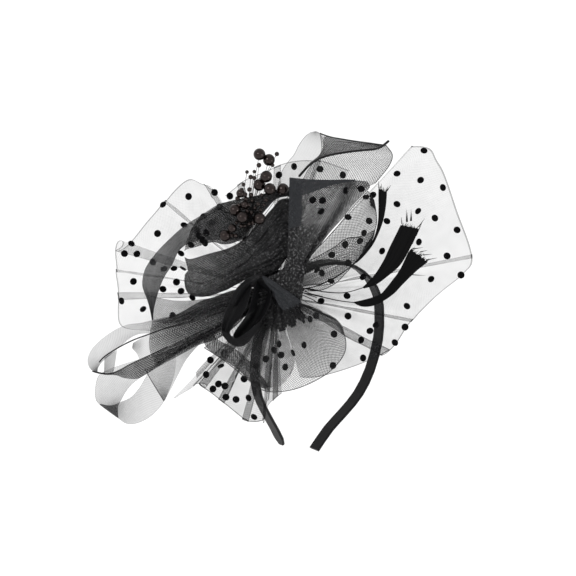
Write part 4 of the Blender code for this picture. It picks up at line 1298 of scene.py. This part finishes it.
DISH_INNER = (
    Line((8.2, 8.7, 8.8, 8.4), (
        (184.4, 251), (188, 249), (197, 247), (208, 243.5), (214.7, 242.3), (222.1, 244.5), (232.6, 243.4),
        (243.2, 237.6),
        (250, 230), (258, 220), (268, 208), (280, 197), (294, 203), (291, 255), (281, 288),
    )),
    Line((8.2, 7.6, 7.4, 7.6), (
        (186, 244), (190, 239), (200, 235), (212, 232), (222, 232), (234, 230), (244, 222), (253, 213),
        (263, 203),
        (273, 196), (288, 192), (297, 206), (291, 255), (281, 288),
    )),
    Line((8.2, 7.0, 7.0, 7.6), (
        (188.5, 236), (194, 228), (203, 223), (214, 220), (226, 218), (238, 213), (248, 205), (257, 199.5),
        (266, 195),
        (277, 190.5), (291, 190), (299, 206), (292, 255), (281, 288),
    )),
    Line((8.3, 8.4, 8.2, 8.0), (
        (193, 226), (198, 219), (207, 212.5), (216, 207), (222, 203.5), (231, 201), (240, 199), (251, 197),
        (262, 194.5),
        (273, 191.5), (286, 188), (297, 189), (301, 206), (292, 255), (281, 288),
    )),
)
DISH_DOTS = ((199, 235.5), (202.5, 240), (206, 233), (197.5, 247), (205, 243), (191, 245))


def thin_left(r, c):
    """Mesh that is a single layer at the left and several deep at the right."""
    return 0.55 + 3.4 * min(r * 1.8, 1.0) ** 1.2


def make_dish(name, lines, waves, seed, dots=()):
    """One saucer of dark mesh."""
    cloth = loft_cloth(lines, 120, 70, RIBBON_EDGE, 0.0)
    cloth = wave_cloth(cloth, waves, 0.0005, True, even_weave, seed, drift=1.2)
    cloth = rough_cloth(cloth, 0.0006, 0.008, seed)
    cloth = cloth._replace(area=grid_area(cloth.grid))
    bm = bmesh.new()
    add_cloth(bm, cloth, 0, thin_left, edge=1)
    if dots:
        flock_dots(bm, dots, 2, seed)
    return finish_piece(f"{name}_mesh", bm, name, (dark_mesh, selvedge, flock))


make_dish("dish", DISH, 9.0, 1.1)
make_dish("dish_inner", DISH_INNER, 6.0, 2.2, DISH_DOTS)

# %% [markdown]
# ## Organza
# The leaf, the bud and the tail are organza: a crisp, plain-woven sheer with a soft sheen, black where it
# doubles. The leaf has a wide turned hem along its top and left sides, and low down its weave opens into a
# coarse black net. The tail is cut with pinking shears.

# %% The leaf
LEAF = (
    Line((12.4, 11.0, 10.2, 9.8), (
        (289.5, 177.5), (289, 200), (288.5, 225), (287.8, 250), (286.5, 263), (279, 272), (268, 277),
    )),
    Line((12.8, 11.4, 10.6, 9.9), (
        (308.9, 179.3), (307, 200), (304, 225), (299, 246), (293, 262), (286, 274), (277, 283),
    )),
    Line((13.0, 12.0, 10.9, 10.0), (
        (329, 179.9), (325, 200), (318, 222), (308, 243), (300, 262), (293, 277), (286, 289),
    )),
    Line((12.0, 10.9, 10.2, 9.9), (
        (347, 179.6), (344, 198), (334, 217), (320, 240), (308, 259), (301, 277), (295, 295),
    )),
    Line((12.2, 11.6, 10.8, 10.0), (
        (367.5, 181.5), (370, 187), (364, 194), (352.6, 206), (344.5, 216.5), (334, 228.3), (321, 243.6),
        (310, 257), (304, 272),
        (303, 288), (302, 300),
    )),
)
LEAF_TOP_HEM = (
    Line((12.9, 13.1, 12.4), ((289.8, 177.4), (308.9, 179.2), (329, 179.8), (345, 179.4), (356, 179.6))),
    Line((13.0, 13.3, 12.5), (
        (290.2, 191.7), (299.5, 195.2), (308.9, 193.5), (321.9, 188.7), (335, 184.5), (354, 181),
    )),
)
LEAF_SIDE_HEM = (
    Line((12.9, 12.0, 11.2), ((289.4, 178.5), (289, 200), (288.6, 216), (288.3, 229))),
    Line((13.1, 12.3, 11.4), ((302, 181), (302, 200), (302, 214), (300.5, 226))),
)
LEAF_DOTS = ((312.5, 200), (322.5, 200.5), (320.7, 211.2), (346, 190.5), (361, 189))
# The leaf's mesh carries strong painted glints: highlights painted into its base colour.
leaf_sheer = weave_material(
    "leaf sheer", BLACK, 0.5, 0.12,
    Weave(0.0014, 0.0006, 0.50, 0.93, 1.1, 1.8, True),
)
NET_BELOW = 0.36


def leaf_layers(r, c):
    """Mottled single mesh above, black net below, and along the right a denser band for the crease: doubled
    cloth and painted shade of the fold.
    """
    crease_and_shade = math.exp(-((c - 0.72) / 0.09) ** 2)
    below = min(max((r - NET_BELOW) / 0.12, 0.0), 1.0)
    root = min(max((r - 0.70) / 0.06, 0.0), 1.0)
    return 0.95 + 1.8 * crease_and_shade + 0.9 * below * (c < 0.8) + 3.0 * root


bm = bmesh.new()
leaf = loft_cloth(LEAF, 120, 60, 0.01, 0.01)
leaf = wave_cloth(leaf, 4.0, 0.0006, True, even_weave, 0.3)
leaf_top = loft_cloth(LEAF_TOP_HEM, 60, 12)
leaf_side = loft_cloth(LEAF_SIDE_HEM, 50, 12)
add_cloth(bm, leaf, 0, leaf_layers, edge=2)
add_cloth(bm, leaf_top, 1)
add_cloth(bm, leaf_side, 1)
flock_dots(bm, LEAF_DOTS, 3, 21)
finish_piece(
    "organza_leaf_cloth", bm, "organza_leaf", (leaf_sheer, organza_hem, selvedge, flock),
)

# %% [markdown]
# The bud is three petals rolled round a hollow. Each has a folded lip that catches the light, and this
# lip, thin and painted a little paler as a painted highlight, is all that tells one black petal from the
# next. The cords along the lips carry the same painted highlight.

# %% The bud
PETAL_BACK = (
    Line((10.6, 11.0, 11.0), (
        (229, 303), (234, 292), (240, 284.5), (248.4, 278), (257.9, 274.8), (266, 276), (272, 281.5),
        (274.2, 288),
    )),
    Line((11.2, 12.2, 12.4), (
        (233, 305), (238, 295), (244, 287), (251, 281.5), (258.5, 278.3), (264.5, 280), (269, 285),
        (270.8, 292),
    )),
    Line((9.8, 9.8, 10.2), (
        (238, 306), (243, 298), (248, 291), (254, 286.5), (259, 284.5), (263, 287), (267, 291), (272, 296),
    )),
)
PETAL_LEFT = (
    Line((10.4, 10.8, 10.8), (
        (246, 279), (238, 287), (230.5, 300.8), (224, 315), (221.4, 327.1), (223.4, 336.5), (230, 343),
        (238, 347),
    )),
    Line((10.0, 10.2, 10.4), (
        (249.5, 279), (243.5, 290), (238, 303), (231.5, 316), (226.8, 328), (227, 335.5), (232, 341.5),
        (238.5, 345.5),
    )),
    Line((11.2, 12.2, 11.6), (
        (252, 279), (250.8, 290.2), (247.6, 303.9), (241.2, 316.5), (233, 326.5), (230, 333), (234, 339),
        (239, 344),
    )),
)
PETAL_MIDDLE = (
    Line((11.4, 11.9, 11.2), (
        (258, 279.5), (255, 286), (252, 297), (249, 309), (243, 320), (236, 329.5), (233.5, 336),
        (236, 343),
    )),
    Line((9.4, 9.2, 9.6), (
        (262, 281), (261, 291), (258, 303), (254, 314), (248, 324), (242, 331.5), (239, 337), (240, 344),
    )),
    Line((9.2, 9.2, 9.8), (
        (266, 281), (266.5, 292), (264, 304), (260, 314.5), (254, 324.5), (248, 333), (244, 339),
        (243, 344.5),
    )),
    Line((11.8, 12.0, 11.4), (
        (270, 281.5), (272, 291), (270.3, 302), (265.5, 313), (259, 323.9), (253.9, 332.3), (248, 341),
        (241, 346.8),
    )),
)
PETAL_FOOT = (
    Line((10.8, 11.4, 11.6), (
        (222.5, 331), (226.5, 340.5), (236, 346.5), (246, 344.5), (254, 335), (261, 323),
    )),
    Line((11.4, 12.4, 12.3), (
        (228, 333), (233, 337.8), (239.4, 337.2), (247.4, 332), (254.2, 326.3), (260, 320.5),
    )),
)
bm = bmesh.new()
petal_back_cloth = loft_cloth(PETAL_BACK, 60, 20, PETAL_EDGE, 0.0)
add_cloth(bm, petal_back_cloth, 0, edge=1)
cord_along(bm, PETAL_BACK[1], 0.00045, 1)
finish_piece(
    "bud_petal_back_cloth", bm, "bud_petal_back", (organza, organza_painted_highlight),
)
bm = bmesh.new()
petal_left_cloth = loft_cloth(PETAL_LEFT, 70, 20, PETAL_EDGE, PETAL_EDGE)
add_cloth(bm, petal_left_cloth, 0, edge=1)
cord_along(bm, PETAL_LEFT[2], 0.0005, 1)
cord_along(bm, PETAL_LEFT[0], 0.00035, 1)
finish_piece(
    "bud_petal_left_cloth", bm, "bud_petal_left", (organza, organza_painted_highlight),
)
bm = bmesh.new()
petal_middle_cloth = loft_cloth(PETAL_MIDDLE, 70, 24, PETAL_EDGE, PETAL_EDGE)
petal_foot_cloth = loft_cloth(PETAL_FOOT, 60, 14, PETAL_EDGE, PETAL_EDGE)
add_cloth(bm, petal_middle_cloth, 0, edge=1)
add_cloth(bm, petal_foot_cloth, 0, edge=1)
cord_along(bm, PETAL_MIDDLE[0], 0.00045, 1)
cord_along(bm, PETAL_MIDDLE[3], 0.00035, 1)
cord_along(bm, PETAL_FOOT[1], 0.00045, 1)
finish_piece(
    "bud_petal_right_cloth", bm, "bud_petal_right", (organza, organza_painted_highlight),
)

# %% [markdown]
# The tail's cut end has the teeth of pinking shears.

# %% The tail
TAIL = (
    Line((12.9, 13.3, 13.0), ((262, 275.5), (272, 280), (283, 287.5), (293, 294.5), (303.5, 302.5))),
    Line((12.6, 13.4, 13.0), ((264, 281), (272, 287), (281, 294), (288, 301), (294.5, 308))),
    Line((12.2, 12.9, 12.9), ((267, 284), (271.5, 291), (275.5, 299), (279.5, 306), (284.5, 311.5))),
)
PINKING_TEETH = 6
PINKING_DEPTH = 0.0024
PINKED_SHARE = 0.15
bm = bmesh.new()
tail = wave_cloth(loft_cloth(TAIL, 60, 36), 2.0, 0.0006, True, even_weave, 4.7)
spots = add_cloth(bm, tail, 0)
for vert, (c, r) in spots.items():
    tooth = abs(2.0 * ((PINKING_TEETH * tail.shares[c]) % 1.0) - 1.0)
    near_end = max(r / (len(tail.grid) - 1) - (1.0 - PINKED_SHARE), 0.0) / PINKED_SHARE
    way = (tail.grid[-1][c] - tail.grid[-2][c]).normalized()
    vert.co -= way * PINKING_DEPTH * tooth * near_end
finish_piece("organza_tail_cloth", bm, "organza_tail", (organza_hem,))

# %% [markdown]
# ## The feathers
# These are thin strips of vane, stripped bare below. Their barbs cling together and run nearly along the
# shaft, so each feather is many long narrow blades side by side, between a left and a right outline. The
# blades end at slightly different lengths, which makes the ragged tip, and a few stand out as whiskers.

# %% Feathers
QUILL_RADIUS = 0.00055
BLADE_SEGMENTS = 26
BLADE_OVERLAP = 1.7
Vane = namedtuple("Vane", "layer left right quill whiskers")
FEATHERS = {
    "feather_short": Vane(
        9.05,
        (
            (355.5, 262), (361.5, 254.8), (369.7, 244.6), (375.1, 234.4), (378, 222), (378.6, 211),
            (378.6, 196), (378.6, 185.5),
        ),
        (
            (356.5, 263), (364, 256), (373, 244.5), (379.5, 231), (383.5, 219), (385.8, 205.8),
            (386.6, 196), (387, 189),
        ),
        ((281, 292), (300, 290), (322, 284), (342, 273), (356, 262.5)),
        ((387, 191, 390.8, 185), (386, 193, 388.2, 185.8), (379, 188, 378.4, 181), (381, 188, 381.4, 183.5)),
    ),
    "feather_middle": Vane(
        8.5,
        (
            (363, 287), (368.7, 281.3), (375.8, 273.2), (384, 259.9), (390.1, 246.6), (396.2, 234.4),
            (402, 222.5),
        ),
        ((364, 288.5), (376, 284.6), (387, 276.6), (398.3, 267), (405.4, 256.8), (412, 244), (419.8, 226)),
        ((281, 292.5), (305, 288.5), (325, 292), (345, 292.6), (363.5, 287.5)),
        (
            (406.5, 222, 406.3, 209.5), (407.4, 222, 407.2, 212), (410.5, 221, 411.3, 209.6),
            (411.4, 221, 411.8, 213),
            (418.5, 227, 424.6, 218.5), (416, 236, 421.5, 224), (402, 224, 401.2, 217),
            (412, 244, 422, 222.5),
        ),
    ),
    "feather_long": Vane(
        7.75,
        (
            (354, 302), (368.7, 298.5), (380, 294.4), (386, 288.4), (393, 279.5), (399.3, 271),
            (404.4, 260.9), (409, 251.5),
            (413, 247.5),
        ),
        (
            (354.5, 303.2), (362, 306.6), (373.8, 305.6), (385, 300), (394.5, 293), (402, 285),
            (412.5, 274.5), (421, 267),
            (430.5, 260),
        ),
        ((281, 293.5), (300, 292.5), (320, 296.5), (338, 300.5), (354, 302.6)),
        (
            (426, 260, 437.5, 257.8), (420, 252, 427.5, 250.2), (423, 255, 432, 254.2),
            (413, 249, 423, 247.4),
            (409, 274.5, 425, 275.6), (398, 287, 396.2, 281.8),
        ),
    ),
}
BARE_STRANDS = (
    ((282, 291), (297, 287.5), (314, 290.5), (330, 292.3)),
    ((282, 292), (298, 289.5), (312, 294), (323, 296.6)),
    ((282, 293), (299, 292), (309, 295), (317, 297.6)),
    ((282, 293.5), (298, 294), (310, 298.3), (318.5, 303.2)),
)
feather_black, _ = plain_shader("feather barb", (0.0012, 0.0012, 0.0014), 0.6, 0.08)


def blade(bm, points, width_at):
    """One flat blade of barbs along points, lying in the flower's face."""
    count = len(points) - 1

    def edge_of(c, r):
        way = points[min(r + 1, count)] - points[max(r - 1, 0)]
        side = way.cross(FORE).normalized()
        return points[r] + side * (c - 0.5) * width_at(r / count)

    moved_grid(bm, 1, count, edge_of)


def make_feather(name, vane, blades, seed):
    """A quill and its blades of barbs, as one piece."""
    dice = random.Random(seed)
    left = line_points(Line((vane.layer,), vane.left))
    right = line_points(Line((vane.layer,), vane.right))
    left_steps, _ = even_steps(left, BLADE_SEGMENTS)
    right_steps, _ = even_steps(right, BLADE_SEGMENTS)
    left_rail = [curve_at(left, step) for step in left_steps]
    right_rail = [curve_at(right, step) for step in right_steps]
    bm = bmesh.new()
    for k in range(blades):
        share = (k + 0.5) / blades
        lift = dice.uniform(-0.0004, 0.0004)
        reach = dice.uniform(0.955, 1.02)
        points = []
        for a, b in zip(left_rail, right_rail):
            points.append(a.lerp(b, share) + lift * FORE)
        tip = points[-1] + (points[-1] - points[-3]) * (reach - 1.0) * BLADE_SEGMENTS / 2.0
        points[-1] = tip
        lane = [(b - a).length / blades for a, b in zip(left_rail, right_rail)]
        widest = max(lane)

        def width_at(t):
            here = lane[min(round(t * BLADE_SEGMENTS), BLADE_SEGMENTS)]
            return max(here * BLADE_OVERLAP, widest * 0.35) * (1.0 if t < 0.94 else (1.0 - t) / 0.06 + 0.08)

        blade(bm, points, width_at)
    for x0, y0, x1, y1 in vane.whiskers:
        start, end = on_face(x0, y0, vane.layer), on_face(x1, y1, vane.layer + 0.2)
        blade(bm, [start.lerp(end, k / 6) for k in range(7)], lambda t: 0.0009 * (1.0 - 0.85 * t))
    quill = line_points(Line((vane.layer,), vane.quill))
    up_vane = [a.lerp(b, 0.45) for a, b in zip(left_rail, right_rail)][:18]
    steps, _ = even_steps(quill, 24)
    line = [curve_at(quill, step) for step in steps] + up_vane[1:]
    tube_along(bm, line, lambda t: QUILL_RADIUS * (1.0 - 0.6 * t), 6, 0)
    if name == "feather_long":
        for spots in BARE_STRANDS:
            cord_along(bm, Line((7.9, 8.2), spots), 0.00035, 0, 16)
    return finish_piece(f"{name}_barbs", bm, name, (feather_black,))


make_feather("feather_short", FEATHERS["feather_short"], 16, 3)
make_feather("feather_middle", FEATHERS["feather_middle"], 34, 4)
make_feather("feather_long", FEATHERS["feather_long"], 34, 5)

# %% [markdown]
# ## The bead spray
# Round beads of dark brown-black glass stand on fine wires that fan out of one foot. Small seed beads sit
# on the wires between them. Only the gloss draws a bead, so the spheres are smooth and the coat is clear.

# %% Beads
SPRAY_REACH = 0.109
SPRAY_RIGHT = -0.025
SPRAY_UP = 0.042
SPRAY_RADIUS = 0.0018
LARGE_BEAD = 0.0094
MEDIUM_BEAD = 0.0070
SEED_BEAD = 0.0034
WIRE_RADIUS = 0.00020
Bead = namedtuple("Bead", "size right up fore")
BEADS = (
    Bead(LARGE_BEAD, -0.124, 0.992, 11.0),
    Bead(LARGE_BEAD, -0.057, 0.953, 10.2),
    Bead(LARGE_BEAD, -0.076, 0.834, 11.2),
    Bead(LARGE_BEAD, -0.126, 0.775, 10.4),
    Bead(LARGE_BEAD, -0.050, 0.745, 11.6),
    Bead(LARGE_BEAD, 0.042, 0.745, 10.6),
    Bead(LARGE_BEAD, -0.299, 0.597, 10.4),
    Bead(LARGE_BEAD, -0.245, 0.544, 11.4),
    Bead(LARGE_BEAD, -0.124, 0.535, 11.2),
    Bead(LARGE_BEAD, -0.369, 0.414, 10.0),
    Bead(MEDIUM_BEAD, -0.257, 0.716, 10.4),
    Bead(MEDIUM_BEAD, -0.319, 0.467, 10.8),
    Bead(MEDIUM_BEAD, -0.230, 0.633, 10.4),
)
SEED_SPOTS = (
    (276.9, 154), (258.9, 165.2), (272.6, 165.2), (247, 172), (254.3, 171.6), (250.7, 177), (254.3, 178),
    (243.5, 184.5), (249.5, 189.5), (261.8, 177.2), (298.3, 188), (241.5, 189.7), (261.4, 195), (241, 226),
    (244.4, 225.7), (249, 223.7), (253, 222.8), (236.5, 222.8), (231.5, 235.3), (235.7, 235.7), (249, 205),
    (255, 208), (246, 199), (266, 200), (258, 204), (251, 195), (237.5, 198.5), (252, 200.5), (247, 211),
    (251.5, 212.5), (239, 205), (264, 205), (260.5, 210), (245, 194.5),
)
SEED_LAYER = 10.6
bead_glass, bead_shader = plain_shader("bead glass", (0.0022, 0.0012, 0.0010), 0.05, 0.34)
bead_shader.inputs["Specular Tint"].default_value = (1.0, 0.82, 0.78, 1.0)
wire_black, _ = plain_shader("spray wire", (0.003, 0.0024, 0.0024), 0.4, 0.12)


def add_bead(bm, centre, size):
    """A round bead in the bmesh."""
    made = bmesh.ops.create_uvsphere(
        bm, u_segments=24, v_segments=16, radius=size / 2.0, matrix=Matrix.Translation(centre)
    )
    for face in {face for vert in made["verts"] for face in vert.link_faces}:
        face.smooth = True


def add_wire(bm, start, end, bow):
    """A wire that bows a little to one side on its way."""
    side = (end - start).cross(FORE).normalized()
    points = [start.lerp(end, k / 8) + side * bow * math.sin(math.pi * k / 8) for k in range(9)]
    tube_along(bm, points, lambda t: WIRE_RADIUS, 5, 1)


spray_dice = random.Random(11)
spray_foot = place(SPRAY_RIGHT, SPRAY_UP, depth(5.0))
spray_head = place(SPRAY_RIGHT, SPRAY_UP, depth(7.6))
bm = bmesh.new()
tube_along(bm, [spray_foot, spray_foot.lerp(spray_head, 0.5), spray_head], lambda t: SPRAY_RADIUS, 12, 1)
for bead in BEADS:
    centre = place(bead.right * SPRAY_REACH, bead.up * SPRAY_REACH, depth(bead.fore))
    add_bead(bm, centre, bead.size)
    add_wire(bm, spray_head, centre, spray_dice.uniform(-0.004, 0.004))
for x, y in SEED_SPOTS:
    centre = on_face(x, y, SEED_LAYER + spray_dice.uniform(-0.5, 0.5))
    add_bead(bm, centre, SEED_BEAD * spray_dice.uniform(0.85, 1.15))
    add_wire(bm, spray_head, centre, spray_dice.uniform(-0.004, 0.004))
finish_piece("bead_spray_glass", bm, "bead_spray", (bead_glass, wire_black))

# %% [markdown]
# ## The band and the base
# The band is covered in satin that is pulled lengthwise, so faint threads run along it. The base behind
# the flower is felt. Both solids have their true shape already, so they stay and get a finish.

# %% Satin and felt
def grain_material(name, colour, roughness, gloss, scale, strength, distance, stretch):
    """A finish with a fine grain on Object coordinates."""
    material, shader = plain_shader(name, colour, roughness, gloss)
    tree = material.node_tree
    spots = node_of(tree, "ShaderNodeTexCoord")
    mapping = node_of(tree, "ShaderNodeMapping")
    mapping.inputs["Scale"].default_value = stretch
    grain = node_of(tree, "ShaderNodeTexNoise")
    grain.inputs["Scale"].default_value = scale
    grain.inputs["Detail"].default_value = 3.0
    bump = node_of(tree, "ShaderNodeBump")
    bump.inputs["Strength"].default_value = strength
    bump.inputs["Distance"].default_value = distance
    tree.links.new(spots.outputs["Object"], mapping.inputs["Vector"])
    tree.links.new(mapping.outputs["Vector"], grain.inputs["Vector"])
    tree.links.new(grain.outputs["Fac"], bump.inputs["Height"])
    tree.links.new(bump.outputs["Normal"], shader.inputs["Normal"])
    return material, shader


satin, _ = grain_material(
    "band satin", (0.0040, 0.0040, 0.0044), 0.42, 0.15, 900.0, 0.35, 0.0002, (0.15, 1.0, 0.15)
)
felt, _ = grain_material("base felt", (0.008, 0.008, 0.009), 0.95, 0.1, 1500.0, 0.8, 0.0004, (1.0, 1.0, 1.0))
for name, material in (("headband", satin), ("flower_base", felt)):
    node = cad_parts[name]
    node.data.materials.clear()
    node.data.materials.append(material)

# %% [markdown]
# Last comes the measure: the box of the imported solids.

# %% Measure
print("cad box", [[round(x, 4) for x in corner] for corner in cad_bounds])
